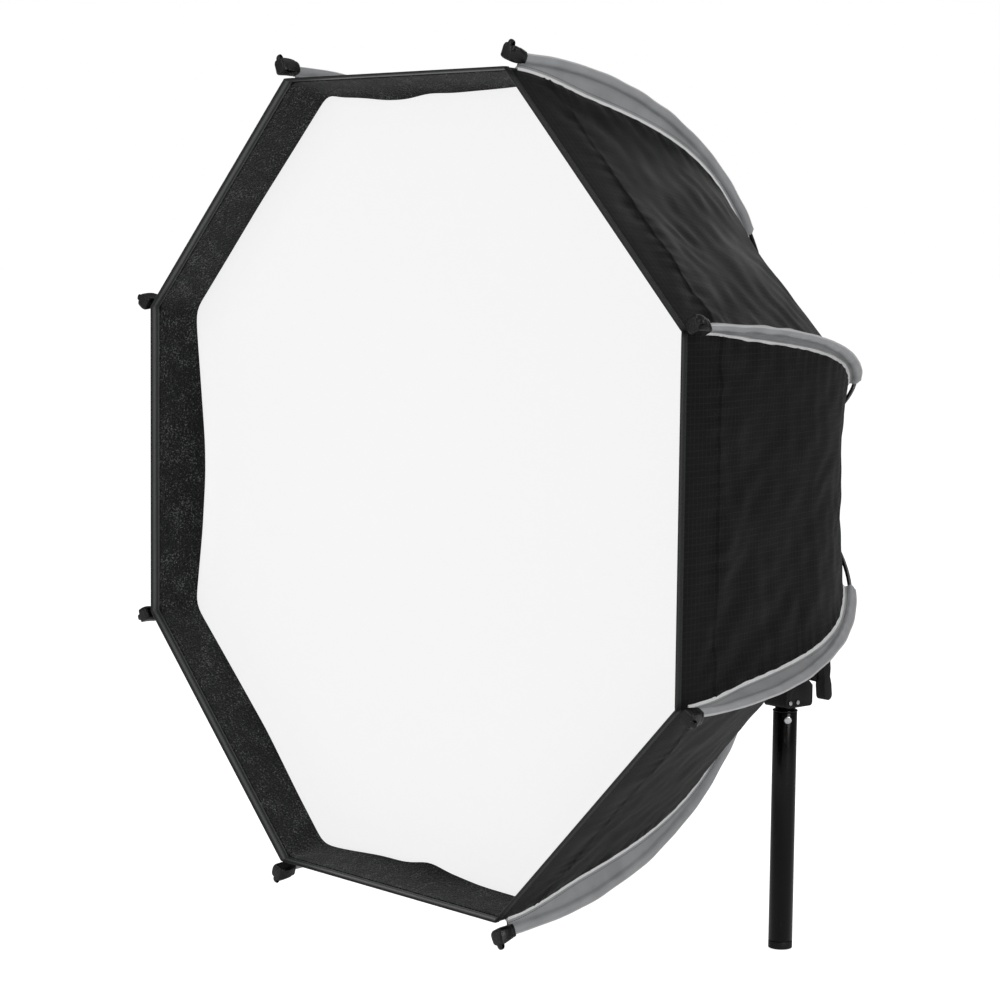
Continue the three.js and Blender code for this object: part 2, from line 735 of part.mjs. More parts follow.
const nutBore = cylinderX(TILT_SCREW_RADIUS + GAP, -FAR, 0, KNUCKLE_BACK, TILT_Z, 16);
const nutBody = hexX(NUT_RADIUS, -blockHalf - SINK, -blockHalf + NUT_DEPTH - GAP);
addMesh(root, "tilt_nut", cut(nutBody, nutBore), finishes.bright);

// The lock screw's tip stops just short of the spigot.
function lockKnob() {
  const face = -blockHalf - RUN;
  const far = face - LOCK_KNOB_LENGTH;
  const tip = -SPIGOT_RADIUS - 2 * GAP;
  const gripEnd = face - LOCK_BOSS + SINK;
  const screw = cylinderX(TILT_SCREW_RADIUS, face - SINK, tip, 0, LOCK_Z, 16);
  const boss = cylinderX(LOCK_BOSS, face - LOCK_BOSS, face, 0, LOCK_Z, 16);
  const grip = cylinderX(LOCK_KNOB_RADIUS, far, gripEnd, 0, LOCK_Z, 24);
  const flutes = range(5, 0, 5).map((i) => {
    const turn = (i * Math.PI) / 3;
    const y = LOCK_KNOB_RADIUS * FLUTE_AT * Math.sin(turn);
    const z = LOCK_Z + LOCK_KNOB_RADIUS * FLUTE_AT * Math.cos(turn);
    return cylinderX(LOCK_KNOB_RADIUS * FLUTE_SHARE, far - SINK, gripEnd + SINK, y, z, 14);
  });
  return join(cut(grip, ...flutes), boss, screw);
}
addMesh(root, "stand_lock_knob", lockKnob(), finishes.knob);

// ---------------------------------------------------------------- tilt handle

const washerAt = blockHalf + GAP;
const washerBody = cylinderX(WASHER_RADIUS, washerAt, washerAt + WASHER, KNUCKLE_BACK, TILT_Z);
const washerBore = cylinderX(TILT_SCREW_RADIUS + GAP, 0, FAR, KNUCKLE_BACK, TILT_Z, 16);
addMesh(root, "tilt_washer", cut(washerBody, washerBore), finishes.bright);

// Two lobes about a waist, drawn across the tilt axis.
function tiltHandle() {
  const lobeAt = HANDLE_REACH - HANDLE_LOBE;
  const waist = HANDLE_LOBE * HANDLE_WAIST;
  const shoulder = lobeAt * HANDLE_SHOULDER;
  const shape = new THREE.Shape();
  shape.moveTo(waist, 0);
  shape.lineTo(HANDLE_LOBE, shoulder);
  shape.lineTo(HANDLE_LOBE, lobeAt);
  shape.absarc(0, lobeAt, HANDLE_LOBE, 0, Math.PI);
  shape.lineTo(-HANDLE_LOBE, shoulder);
  shape.lineTo(-waist, 0);
  shape.lineTo(-HANDLE_LOBE, -shoulder);
  shape.lineTo(-HANDLE_LOBE, -lobeAt);
  shape.absarc(0, -lobeAt, HANDLE_LOBE, Math.PI, 2 * Math.PI);
  shape.lineTo(HANDLE_LOBE, -shoulder);
  shape.closePath();
  const bar = new THREE.ExtrudeGeometry(shape, {
    depth: HANDLE_THICKNESS,
    bevelEnabled: false,
    curveSegments: 10,
  });
  const turn = new THREE.Matrix4().makeBasis(
    new THREE.Vector3(0, 1, 0),
    new THREE.Vector3(0, 0, 1),
    new THREE.Vector3(1, 0, 0),
  );
  bar.applyMatrix4(turn);
  bar.rotateX(radians(HANDLE_LEAN));
  bar.translate(HANDLE_OUT, KNUCKLE_BACK, TILT_Z);
  const from = washerAt + WASHER + RUN;
  const to = HANDLE_OUT + 2 * SINK;
  const boss = new THREE.CylinderGeometry(HANDLE_BOSS_OUT, HANDLE_BOSS, to - from, 28);
  boss.rotateZ(-Math.PI / 2);
  boss.translate((from + to) / 2, KNUCKLE_BACK, TILT_Z);
  const coreEnd = HANDLE_OUT + SCREW_END + GAP;
  const core = cylinderX(TILT_SCREW_RADIUS + GAP, 0, coreEnd, KNUCKLE_BACK, TILT_Z, 16);
  return cut(join(bar, boss), core);
}
addMesh(root, "tilt_handle", tiltHandle(), finishes.knob);
const screwBody = cylinderX(
  TILT_SCREW_RADIUS,
  -blockHalf - 2,
  HANDLE_OUT + SCREW_END,
  KNUCKLE_BACK,
  TILT_Z,
  16,
);
addMesh(root, "tilt_screw", screwBody, finishes.bright);

// ---------------------------------------------------------------- tilt arm

const armFront = KNUCKLE_BACK - ARM_PLATE / 2;
const armRear = KNUCKLE_BACK + ARM_PLATE / 2;
const armHalf = ARM_WIDTH / 2;
const hubBack = -HUB_TO_STAND + PLATE_DEPTH;
const hubOuter = HINGE_RADIUS + HUB_RIM;
const shelfTop = AXIS_Z - hubOuter - 1;
const shelfBottom = shelfTop - ARM_PLATE;
const flangeRear = hubBack + GAP + ARM_PLATE;
const railTop = AXIS_Z - SHOE_DROP - SHOE_METAL - GAP - CARRIAGE_HEIGHT - GAP;
const railBottom = railTop - RAIL_PLATE;
const boltZ = railTop - RAIL_TAB / 2 - 2;

function tiltArm() {
  const knuckleHalf = KNUCKLE_WIDTH / 2;
  const knuckle = cylinderX(KNUCKLE_RADIUS, -knuckleHalf, knuckleHalf, KNUCKLE_BACK, TILT_Z, 36);
  const webBack = KNUCKLE_BACK + WEB_HALF;
  const webFront = KNUCKLE_BACK - WEB_HALF;
  const webTop = TILT_Z + ARM_ROOT + WEB_HALF;
  const web = box(-knuckleHalf, knuckleHalf, webFront, webBack, TILT_Z, webTop);
  const plate = box(-armHalf, armHalf, armFront, armRear, TILT_Z + ARM_ROOT, shelfTop);
  const shelf = box(-armHalf, armHalf, hubBack + GAP, armRear, shelfBottom, shelfTop);
  const flangeTop = AXIS_Z - HUB_BORE - 3;
  const tab = box(-armHalf, armHalf, hubBack + GAP, flangeRear, shelfBottom, flangeTop);
  const pivot = cylinderX(TILT_SCREW_RADIUS + GAP, -FAR, FAR, KNUCKLE_BACK, TILT_Z, 16);
  const holes = hubScrewHoles().map((g) => g.translate(0, FRONT_Y, AXIS_Z));
  const boltHole = cylinderY(TILT_SCREW_RADIUS + GAP, armFront - PAST, armRear + PAST, 0, boltZ);
  return cut(join(knuckle, web, plate, shelf, tab), pivot, boltHole, ...holes);
}
addMesh(root, "tilt_arm", tiltArm(), finishes.bracket);

// Screws that hold the hub plate to the arm.
[-1, 1].forEach((side, i) => {
  const z = AXIS_Z - (HUB_BORE + hubOuter) / 2;
  const x = side * HUB_SCREW_SPREAD;
  const from = hubBack - HUB_SCREW_BITE + SINK;
  const seat = flangeRear + GAP;
  const shank = cylinderY(HUB_SCREW_RADIUS, from, seat + SINK, x, z, 12);
  const head = cylinderY(HUB_SCREW_HEAD_RADIUS, seat, seat + HUB_SCREW_HEAD, x, z, 20);
  addMesh(root, `hub_screw_${i + 1}`, join(shank, head), finishes.bright);
});

// ---------------------------------------------------------------- flash rail and shoe

const railFront = armRear + GAP;
const railHalf = RAIL_WIDTH / 2;
const carriageY = armRear + CARRIAGE_AT;
const slotHalf = SLOT_WIDTH / 2;
const slotFrom = railFront + RAIL_PLATE + SLOT_MARGIN;
const slotTo = railFront + RAIL_LENGTH - SLOT_MARGIN;

function flashRail() {
  const deck = box(-railHalf, railHalf, railFront, railFront + RAIL_LENGTH, railBottom, railTop);
  const tabBottom = railTop - RAIL_TAB;
  const tab = box(-railHalf, railHalf, railFront, railFront + RAIL_PLATE, tabBottom, railTop);
  const slot = box(-slotHalf, slotHalf, slotFrom, slotTo, railBottom - PAST, railTop + PAST);
  const boltHole = cylinderY(TILT_SCREW_RADIUS + GAP, railFront - PAST, railFront + FAR, 0, boltZ);
  return cut(join(deck, tab), slot, boltHole);
}
addMesh(root, "flash_rail", flashRail(), finishes.bracket);

// The bolt that holds the rail to the arm, its head in front.
function railBolt() {
  const rear = railFront + RAIL_PLATE;
  const seat = armFront - GAP;
  const shank = cylinderY(TILT_SCREW_RADIUS, armFront - SINK, rear + BOLT_END, 0, boltZ);
  const head = cylinderY(BOLT_HEAD_RADIUS, seat - BOLT_HEAD, seat, 0, boltZ);
  return join(shank, head);
}
addMesh(root, "rail_bolt", railBolt(), finishes.bright);

function wingNut() {
  const rear = railFront + RAIL_PLATE + GAP;
  const body = cylinderY(WING_NUT_RADIUS, rear, rear + WING_NUT_HEIGHT, 0, boltZ, 24);
  const [y0, y1] = [rear + SINK, rear + SINK + WING_PLATE];
  const [z0, z1] = [boltZ - WING_HALF, boltZ + WING_HALF];
  const wings = box(-WING_REACH, WING_REACH, y0, y1, z0, z1);
  const hole = cylinderY(TILT_SCREW_RADIUS + GAP, rear - PAST, rear + FAR, 0, boltZ);
  return cut(join(body, wings), hole);
}
addMesh(root, "rail_wing_nut", wingNut(), finishes.bright);

// The carriage straddles the rail with a cheek on each side.
function shoeCarriage() {
  const half = CARRIAGE_WIDTH / 2;
  const y0 = carriageY - CARRIAGE_LENGTH / 2;
  const y1 = carriageY + CARRIAGE_LENGTH / 2;
  const bottom = railTop + GAP;
  const top = bottom + CARRIAGE_HEIGHT;
  const body = box(-half, half, y0, y1, railBottom, top);
  const channelHalf = railHalf + RUN;
  const channel = box(-channelHalf, channelHalf, y0 - PAST, y1 + PAST, railBottom - PAST, bottom);
  const hole = cylinderZ(TILT_SCREW_RADIUS + GAP, railBottom - PAST, top - 2, 0, carriageY, 24);
  return cut(body, channel, hole);
}
addMesh(root, "shoe_carriage", shoeCarriage(), finishes.bracket);

// A cold shoe: floor with a raised pad, side walls and lips over a foot slot.
function coldShoe() {
  const inner = SHOE_INNER / 2;
  const outer = inner + SHOE_METAL;
  const mouth = SHOE_MOUTH / 2;
  const y0 = carriageY - SHOE_LENGTH / 2;
  const y1 = carriageY + SHOE_LENGTH / 2;
  const bottom = railTop + 2 * GAP + CARRIAGE_HEIGHT;
  const floor = bottom + SHOE_METAL;
  const lip = floor + SHOE_SLOT;
  const body = box(-outer, outer, y0, y1, bottom, lip + SHOE_METAL);
  const slot = box(-inner, inner, y0 - PAST, y1 - SHOE_METAL, floor, lip);
  const opening = box(-mouth, mouth, y0 - PAST, y1 + PAST, floor, lip + PAST);
  const padHalf = mouth - PAD_MARGIN;
  const padEnd = y1 - SHOE_METAL * 2;
  const pad = box(-padHalf, padHalf, y0 + SINK, padEnd, floor - PAD_RISE, floor + PAD_RISE);
  return join(cut(body, slot, opening), pad);
}
addMesh(root, "cold_shoe", coldShoe(), finishes.bright);

function shoeKnob() {
  const top = railBottom - RUN;
  const bottom = top - KNOB_HEIGHT;
  const screwTop = railTop + GAP + CARRIAGE_HEIGHT - 3;
  const screw = cylinderZ(TILT_SCREW_RADIUS, top - SINK, screwTop, 0, carriageY, 24);
  const grip = cylinderZ(KNOB_RADIUS, bottom, top, 0, carriageY, 28);
  const last = KNOB_FLUTES - 1;
  const flutes = range(last, 0, last).map((i) => {
    const turn = (i * 2 * Math.PI) / KNOB_FLUTES;
    const x = KNOB_RADIUS * FLUTE_AT * Math.cos(turn);
    const y = carriageY + KNOB_RADIUS * FLUTE_AT * Math.sin(turn);
    return cylinderZ(KNOB_RADIUS * FLUTE_SHARE, bottom - SINK, top + SINK, x, y, 14);
  });
  return join(cut(grip, ...flutes), screw);
}
addMesh(root, "shoe_knob", shoeKnob(), finishes.knob);

export default root;
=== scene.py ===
"""A folding octagonal softbox on the top tube of a light stand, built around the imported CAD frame.

Metres. The canopy is worked out in a frame of its own: x across, depth behind the front edge, z up,
with its origin at the centre of the front edge and azimuth measured from +X towards +Z.
"""

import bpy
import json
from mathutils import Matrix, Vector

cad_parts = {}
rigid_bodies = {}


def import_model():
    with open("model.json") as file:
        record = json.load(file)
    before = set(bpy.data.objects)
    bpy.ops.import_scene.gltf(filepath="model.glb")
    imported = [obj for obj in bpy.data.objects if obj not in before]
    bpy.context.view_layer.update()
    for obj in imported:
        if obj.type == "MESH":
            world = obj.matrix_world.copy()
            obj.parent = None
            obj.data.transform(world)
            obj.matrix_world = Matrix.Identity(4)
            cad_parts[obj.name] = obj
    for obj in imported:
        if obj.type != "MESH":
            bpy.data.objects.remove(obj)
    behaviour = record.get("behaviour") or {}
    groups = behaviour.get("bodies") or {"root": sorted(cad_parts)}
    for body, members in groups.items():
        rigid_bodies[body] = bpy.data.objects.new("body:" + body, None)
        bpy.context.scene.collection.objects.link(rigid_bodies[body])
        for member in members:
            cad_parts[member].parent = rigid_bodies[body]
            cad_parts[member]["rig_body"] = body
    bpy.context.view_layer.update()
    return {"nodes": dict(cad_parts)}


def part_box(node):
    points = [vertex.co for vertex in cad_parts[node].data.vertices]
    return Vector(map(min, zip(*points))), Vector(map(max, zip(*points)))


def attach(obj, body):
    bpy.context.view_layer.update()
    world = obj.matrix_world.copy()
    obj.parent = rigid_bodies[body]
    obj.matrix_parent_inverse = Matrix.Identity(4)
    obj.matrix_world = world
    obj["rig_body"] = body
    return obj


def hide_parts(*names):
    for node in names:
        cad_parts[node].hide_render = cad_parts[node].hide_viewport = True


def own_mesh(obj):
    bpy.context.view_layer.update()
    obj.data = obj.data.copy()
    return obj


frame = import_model()

import json
import math

import bmesh
import bpy
import numpy as np
from mathutils import Matrix, Vector

MM = 0.001

# -------------------------------- sizes the frame was made with

RIBS = 8
STEP = 2 * math.pi / RIBS
HALF = STEP / 2
SLEEVE_ARC = 515 * MM
ARC_CENTRE = -103 * MM
ROD_DEPTH = 6 * MM
ROD_ARC = SLEEVE_ARC - ROD_DEPTH
ROD_RADIUS = 2 * MM
ROD_START = 4 * MM
HINGE_RADIUS = 78 * MM
HINGE_ANGLE = math.acos((HINGE_RADIUS - ARC_CENTRE) / ROD_ARC)
HINGE_DEPTH = ROD_ARC * math.sin(HINGE_ANGLE)
FIN_TIP, FIN_BELLY, FIN_BACK = 14 * MM, 25 * MM, 13 * MM
FIN_BELLY_ANGLE = math.radians(13.5)
FIN_SETTLE_ANGLE = math.radians(38)
SLEEVE_END_ANGLE = math.radians(46)
LIP_DEPTH = 50 * MM
CAP_BACK = 17 * MM
CLOTH_END_DEPTH = HINGE_DEPTH - 12 * MM
TUBE_RADIUS = 12.5 * MM

front_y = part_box("canopy_panel_8")[0].y
hub_low, hub_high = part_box("hub_plate")
axis_z = (hub_low.z + hub_high.z) / 2

# -------------------------------- camera

FOCAL_MM = 99.224
CAMERA_DISTANCE = 2.47408
CAMERA_AZIMUTH = math.radians(50.488)
CAMERA_ELEVATION = math.radians(5.2627)
HEADING = math.radians(48.114)
PITCH = math.radians(-5.501)
ROLL = math.radians(0.6592)


def pointing(azimuth, elevation):
    """Unit vector at an azimuth from -Y towards +X, and an elevation."""
    flat = math.cos(elevation)
    return Vector((math.sin(azimuth) * flat, -math.cos(azimuth) * flat, math.sin(elevation)))


def make_camera():
    data = bpy.data.cameras.new("camera")
    data.lens = FOCAL_MM
    data.sensor_width = 36
    data.clip_end = 100
    camera = bpy.data.objects.new("camera", data)
    bpy.context.scene.collection.objects.link(camera)
    away = pointing(CAMERA_AZIMUTH, CAMERA_ELEVATION)
    forward = -pointing(HEADING, -PITCH)
    level = forward.cross(Vector((0, 0, 1))).normalized()
    above = level.cross(forward)
    right = level * math.cos(ROLL) + above * math.sin(ROLL)
    up = above * math.cos(ROLL) - level * math.sin(ROLL)
    turn = Matrix((right, up, -forward)).transposed().to_4x4()
    place = Vector((0, front_y, axis_z)) + away * CAMERA_DISTANCE
    camera.matrix_world = Matrix.Translation(place) @ turn
    bpy.context.scene.camera = camera


make_camera()

# -------------------------------- shader helper


class Shader:
    """One material's node tree, with short calls for the nodes that are used here."""

    def __init__(self, name):
        self.material = bpy.data.materials.new(name)
        self.material.use_nodes = True
        self.tree = self.material.node_tree
        self.tree.nodes.clear()
        output = self.tree.nodes.new("ShaderNodeOutputMaterial")
        self.surface = self.tree.nodes.new("ShaderNodeBsdfPrincipled")
        self.tree.links.new(self.surface.outputs[0], output.inputs[0])

    def plug(self, socket, value):
        if isinstance(value, bpy.types.NodeSocket):
            self.tree.links.new(value, socket)
        elif hasattr(value, "__len__") and len(value) == 3 and socket.type == "RGBA":
            socket.default_value = (*value, 1)
        else:
            socket.default_value = value

    def node(self, kind, settings=None, **inputs):
        made = self.tree.nodes.new("ShaderNode" + kind)
        for key, value in (settings or {}).items():
            setattr(made, key, value)
        for key, value in inputs.items():
            self.plug(made.inputs[key.replace("_", " ")], value)
        return made

    def set(self, **inputs):
        for key, value in inputs.items():
            self.plug(self.surface.inputs[key.replace("_", " ")], value)
        return self

    def math(self, operation, a, b=0.0):
        made = self.tree.nodes.new("ShaderNodeMath")
        made.operation = operation
        self.plug(made.inputs[0], a)
        self.plug(made.inputs[1], b)
        return made.outputs[0]

    def most(self, *values):
        total = values[0]
        for value in values[1:]:
            total = self.math("MAXIMUM", total, value)
        return total

    def total(self, *values):
        total = values[0]
        for value in values[1:]:
            total = self.math("ADD", total, value)
        return total

    def ramp(self, value, low, high, start=0.0, end=1.0):
        made = self.tree.nodes.new("ShaderNodeMapRange")
        made.interpolation_type = "SMOOTHSTEP"
        for i, v in enumerate((value, low, high, start, end)):
            self.plug(made.inputs[i], v)
        return made.outputs[0]

    def mix(self, factor, a, b):
        made = self.tree.nodes.new("ShaderNodeMix")
        made.data_type = "RGBA"
        self.plug(made.inputs[0], factor)
        self.plug(made.inputs[6], a)
        self.plug(made.inputs[7], b)
        return made.outputs[2]

    def cloth_place(self):
        return self.node("UVMap", {"uv_map": "cloth"}).outputs[0]

    def object_place(self):
        return self.node("TexCoord").outputs["Object"]

    def split(self, vector):
        return self.node("SeparateXYZ", Vector=vector).outputs

    def stretched(self, vector, scale):
        return self.node("Mapping", Vector=vector, Scale=scale).outputs[0]

    def noise(self, vector, scale, detail=2.0, roughness=0.5):
        return self.node(
            "TexNoise", Vector=vector, Scale=scale, Detail=detail, Roughness=roughness
        ).outputs[0]

    def cells(self, vector, scale, feature="F1"):
        return self.node("TexVoronoi", {"feature": feature}, Vector=vector, Scale=scale).outputs[0]

    def line(self, value, at, width):
        """1 on a line where value is at, falling to 0 a width away."""
        return self.ramp(self.math("ABSOLUTE", self.math("SUBTRACT", value, at)), 0, width, 1, 0)

    def lattice(self, value, pitch, width):
        return self.ramp(self.math("PINGPONG", value, pitch / 2), 0, width, 1, 0)

    def stitch(self, along, across, at, pitch=3.2 * MM, width=0.45 * MM):
        """A row of stitches that runs along, where across is at."""
        row = self.line(across, at, width)
        dash = self.ramp(self.math("PINGPONG", along, pitch / 2), pitch * 0.08, pitch * 0.16)
        return self.math("MULTIPLY", row, dash)

    def bump(self, height, distance, strength):
        made = self.node("Bump", Height=height, Distance=distance, Strength=strength)
        self.plug(self.surface.inputs["Normal"], made.outputs[0])


# -------------------------------- cloth materials

RIPSTOP_PITCH = 5.4 * MM
RIPSTOP_THREAD = 0.42 * MM
WEAVE_PITCH = 0.62 * MM

def panel_material(name, seams=()):
    """Black coated ripstop: a fine weave crossed by a raised grid. seams are stitched rows, by how
    far along the cloth they are."""
    s = Shader(name)
    place = s.cloth_place()
    across, along, _ = s.split(place)
    grid = s.most(
        s.lattice(across, RIPSTOP_PITCH, RIPSTOP_THREAD),
        s.lattice(along, RIPSTOP_PITCH, RIPSTOP_THREAD),
    )
    threads = s.math(
        "MULTIPLY", s.lattice(across, WEAVE_PITCH, WEAVE_PITCH / 2),
        s.lattice(along, WEAVE_PITCH, WEAVE_PITCH / 2),
    )
    uneven = s.noise(place, 420, 3)
    broad = s.noise(s.object_place(), 14, 3, 0.55)
    sewn = s.most(*[s.stitch(across, along, at) for at in seams]) if seams else 0.0
    dark = s.mix(s.ramp(broad, 0.3, 0.7), (0.0042, 0.0042, 0.0045), (0.0072, 0.0072, 0.0077))
    cloth = s.mix(s.math("MULTIPLY", grid, 0.6), dark, (0.024, 0.024, 0.0255))
    cloth = s.mix(s.math("MULTIPLY", uneven, 0.25), cloth, (0.01, 0.01, 0.0106))
    s.set(
        Base_Color=s.mix(sewn, cloth, (0.03, 0.03, 0.031)) if seams else cloth,
        Roughness=s.ramp(s.total(broad, s.math("MULTIPLY", grid, -0.15)), 0.2, 0.8, 0.44, 0.6),
        Specular_IOR_Level=0.14, Sheen_Weight=0.01, Sheen_Roughness=0.4,
    )
    relief = s.total(
        s.math("MULTIPLY", grid, 0.5), s.math("MULTIPLY", threads, 0.35), s.math("MULTIPLY", uneven, 0.5)
    )
    if seams:
        relief = s.total(relief, s.math("MULTIPLY", sewn, 2.2))
    s.bump(relief, 0.12 * MM, 0.9)
    return s.material


def lining_material():
    """The silver reflecting side of the panels, faintly crazed."""
    s = Shader("silver_lining")
    place = s.cloth_place()
    craze = s.cells(place, 160, "DISTANCE_TO_EDGE")
    grain = s.noise(place, 600, 2)
    s.set(
        Base_Color=s.mix(s.ramp(grain, 0.3, 0.7), (0.62, 0.63, 0.65), (0.78, 0.79, 0.81)),
        Metallic=0.85, Roughness=s.ramp(grain, 0.2, 0.8, 0.3, 0.46),
    )
    s.bump(s.total(s.ramp(craze, 0, 0.09), grain), 0.2 * MM, 0.6)
    return s.material


def sleeve_material():
    """Satin grey binding, lighter along its folded outer edge and near white in a thin line by the seam, with
    a row of stitches beside the seam.
    """
    s = Shader("satin_binding")
    place = s.cloth_place()
    along, height, _ = s.split(place)
    from_seam = s.node("Attribute", {"attribute_name": "from_seam"}).outputs["Fac"]
    fibres = s.noise(s.stretched(place, (1, 9, 1)), 420, 3)
    weave = s.math(
        "MULTIPLY", s.lattice(along, 0.5 * MM, 0.25 * MM), s.lattice(height, 0.5 * MM, 0.25 * MM)
    )
    broad = s.noise(s.object_place(), 26, 3, 0.6)
    sewn = s.stitch(along, from_seam, 3.4 * MM, 3 * MM, 0.5 * MM)
    # Colour is lighter towards the folded outer edge, and near white in a thin line by the seam.
    fold = s.ramp(height, -1.5 * MM, -0.7 * MM)
    seam_line = s.ramp(from_seam, 1.0 * MM, 1.7 * MM, 1, 0)
    grey = s.mix(s.ramp(broad, 0.25, 0.75), (0.31, 0.318, 0.33), (0.42, 0.428, 0.44))
    grey = s.mix(s.math("MULTIPLY", fibres, 0.35), grey, (0.54, 0.545, 0.555))
    grey = s.mix(fold, grey, (0.62, 0.62, 0.63))
    grey = s.mix(seam_line, grey, (0.95, 0.95, 0.95))
    s.set(
        Base_Color=s.mix(sewn, grey, (0.1, 0.1, 0.105)),
        Roughness=s.ramp(fibres, 0.2, 0.8, 0.34, 0.5), Specular_IOR_Level=0.55, Sheen_Weight=0.2,
        Sheen_Roughness=0.35,
    )
    relief = s.total(
        s.math("MULTIPLY", weave, 0.4), s.math("MULTIPLY", fibres, 0.8), s.math("MULTIPLY", sewn, -1.6)
    )
    s.bump(relief, 0.14 * MM, 0.9)
    return s.material


def loop_material():
    """Fuzzy black fastening tape: close curls that catch the light in specks."""
    s = Shader("fuzzy_tape")
    place = s.object_place()
    curls = s.noise(place, 620, 4, 0.72)
    tufts = s.cells(place, 420)
    patches = s.noise(place, 60, 2)
    speck = s.ramp(s.math("ADD", curls, s.math("MULTIPLY", patches, 0.25)), 0.66, 0.8)
    pile = s.mix(s.ramp(curls, 0.35, 0.62), (0.0035, 0.0037, 0.0038), (0.0155, 0.0165, 0.0168))
    s.set(
        Base_Color=s.mix(speck, pile, (0.13, 0.137, 0.135)), Roughness=0.95,
        Specular_IOR_Level=0.12, Sheen_Weight=0.12, Sheen_Roughness=0.6,
    )
    s.bump(s.total(curls, s.math("MULTIPLY", tufts, 0.6)), 1.3 * MM, 1.0)
    return s.material


def binding_material():
    """Smooth dark grey edge binding with a stitched groove, and two bands painted lighter grey as highlights.
    """
    s = Shader("edge_binding")
    place = s.cloth_place()
    across, along, _ = s.split(place)
    grain = s.noise(s.stretched(place, (1, 6, 1)), 380, 3)
    sewn = s.most(
        s.stitch(across, along, 5.8 * MM, 3 * MM, 0.5 * MM),
        s.stitch(across, along, -3.2 * MM, 3 * MM, 0.4 * MM),
    )
    # Painted highlights: two bands along the binding are painted lighter grey.
    painted_highlight = s.most(s.line(along, 2.4 * MM, 2.6 * MM), s.line(along, 8.0 * MM, 0.9 * MM))
    grey = s.mix(grain, (0.008, 0.0085, 0.009), (0.016, 0.017, 0.0175))
    grey = s.mix(painted_highlight, grey, (0.062, 0.066, 0.067))
    s.set(
        Base_Color=s.mix(sewn, grey, (0.008, 0.008, 0.008)),
        Roughness=s.ramp(grain, 0.2, 0.8, 0.4, 0.56), Specular_IOR_Level=0.5,
    )
    s.bump(s.total(s.math("MULTIPLY", grain, 0.7), s.math("MULTIPLY", sewn, -1.5)), 0.16 * MM, 0.9)
    return s.material


def diffuser_material():
    """Matt white diffusing cloth with a painted glow: the cloth gives off light of its own."""
    s = Shader("diffuser_cloth")
    place = s.cloth_place()
    x, z, _ = s.split(place)
    weave = s.math("MULTIPLY", s.lattice(x, 0.45 * MM, 0.22 * MM), s.lattice(z, 0.45 * MM, 0.22 * MM))
    uneven = s.noise(place, 240, 3)
    # The emission is a painted glow: the white cloth shines by itself, with no lamp behind it.
    s.set(
        Base_Color=s.mix(uneven, (0.3, 0.3, 0.3), (0.33, 0.33, 0.33)), Roughness=0.85,
        Specular_IOR_Level=0.2, Sheen_Weight=0.05, Emission_Color=(1, 1, 1, 1),
        Emission_Strength=0.775,
    )
    s.bump(s.total(s.math("MULTIPLY", weave, 0.4), s.math("MULTIPLY", uneven, 0.4)), 0.08 * MM, 0.6)
    return s.material


def leather_material():
    """Black glossy leatherette with a pebbled grain."""
    s = Shader("leatherette")
    place = s.object_place()
    pebbles = s.cells(place, 950)
    soft = s.noise(place, 180, 3)
    s.set(
        Base_Color=s.mix(s.ramp(pebbles, 0.1, 0.6), (0.006, 0.006, 0.0063), (0.0025, 0.0025, 0.0028)),
        Roughness=s.ramp(soft, 0.25, 0.75, 0.24, 0.42),
        Specular_IOR_Level=0.45,
        Coat_Weight=0.15,
        Coat_Roughness=0.2,
    )
    s.bump(s.total(s.math("MULTIPLY", pebbles, -0.8), s.math("MULTIPLY", soft, 1.6)), 0.35 * MM, 0.8)
    return s.material


# -------------------------------- hard materials


def painted_material(name, dark, light, rough, grain_scale, depth):
    """Paint on metal: a fine even texture, worn a little glossier in patches."""
    s = Shader(name)
    place = s.object_place()
    grain = s.noise(place, grain_scale, 2)
    worn = s.noise(place, 45, 4, 0.6)
    scuffs = s.ramp(s.noise(s.stretched(place, (1, 1, 0.08)), 500, 3, 0.6), 0.66, 0.76)
    paint = s.mix(s.ramp(worn, 0.3, 0.7), dark, light)
    s.set(
        Base_Color=s.mix(s.math("MULTIPLY", scuffs, 0.35), paint, (0.09, 0.09, 0.092)),
        Roughness=s.ramp(worn, 0.25, 0.75, rough - 0.06, rough + 0.08), Specular_IOR_Level=0.3,
    )
    s.bump(grain, depth, 0.7)
    return s.material


def metal_material(name, dark, light, rough):
    """Plated steel with fine turning marks."""
    s = Shader(name)
    place = s.object_place()
    brushed = s.noise(s.stretched(place, (1, 1, 14)), 700, 3)
    cloudy = s.noise(place, 120, 3)
    s.set(
        Base_Color=s.mix(cloudy, dark, light), Metallic=1.0,
        Roughness=s.ramp(brushed, 0.2, 0.8, rough - 0.06, rough + 0.08),
    )
    s.bump(brushed, 0.03 * MM, 0.5)
    return s.material


def moulded_material(name, dark, light, rough):
    """Moulded plastic with a spark-eroded grain."""
    s = Shader(name)
    place = s.object_place()
    grain = s.noise(place, 1400, 2)
    flow = s.noise(place, 70, 4, 0.6)
    s.set(
        Base_Color=s.mix(s.ramp(flow, 0.3, 0.7), dark, light),
        Roughness=s.ramp(flow, 0.25, 0.75, rough - 0.05, rough + 0.07), Specular_IOR_Level=0.35,
    )
    s.bump(s.total(grain, s.math("MULTIPLY", flow, 0.4)), 0.09 * MM, 0.6)
    return s.material


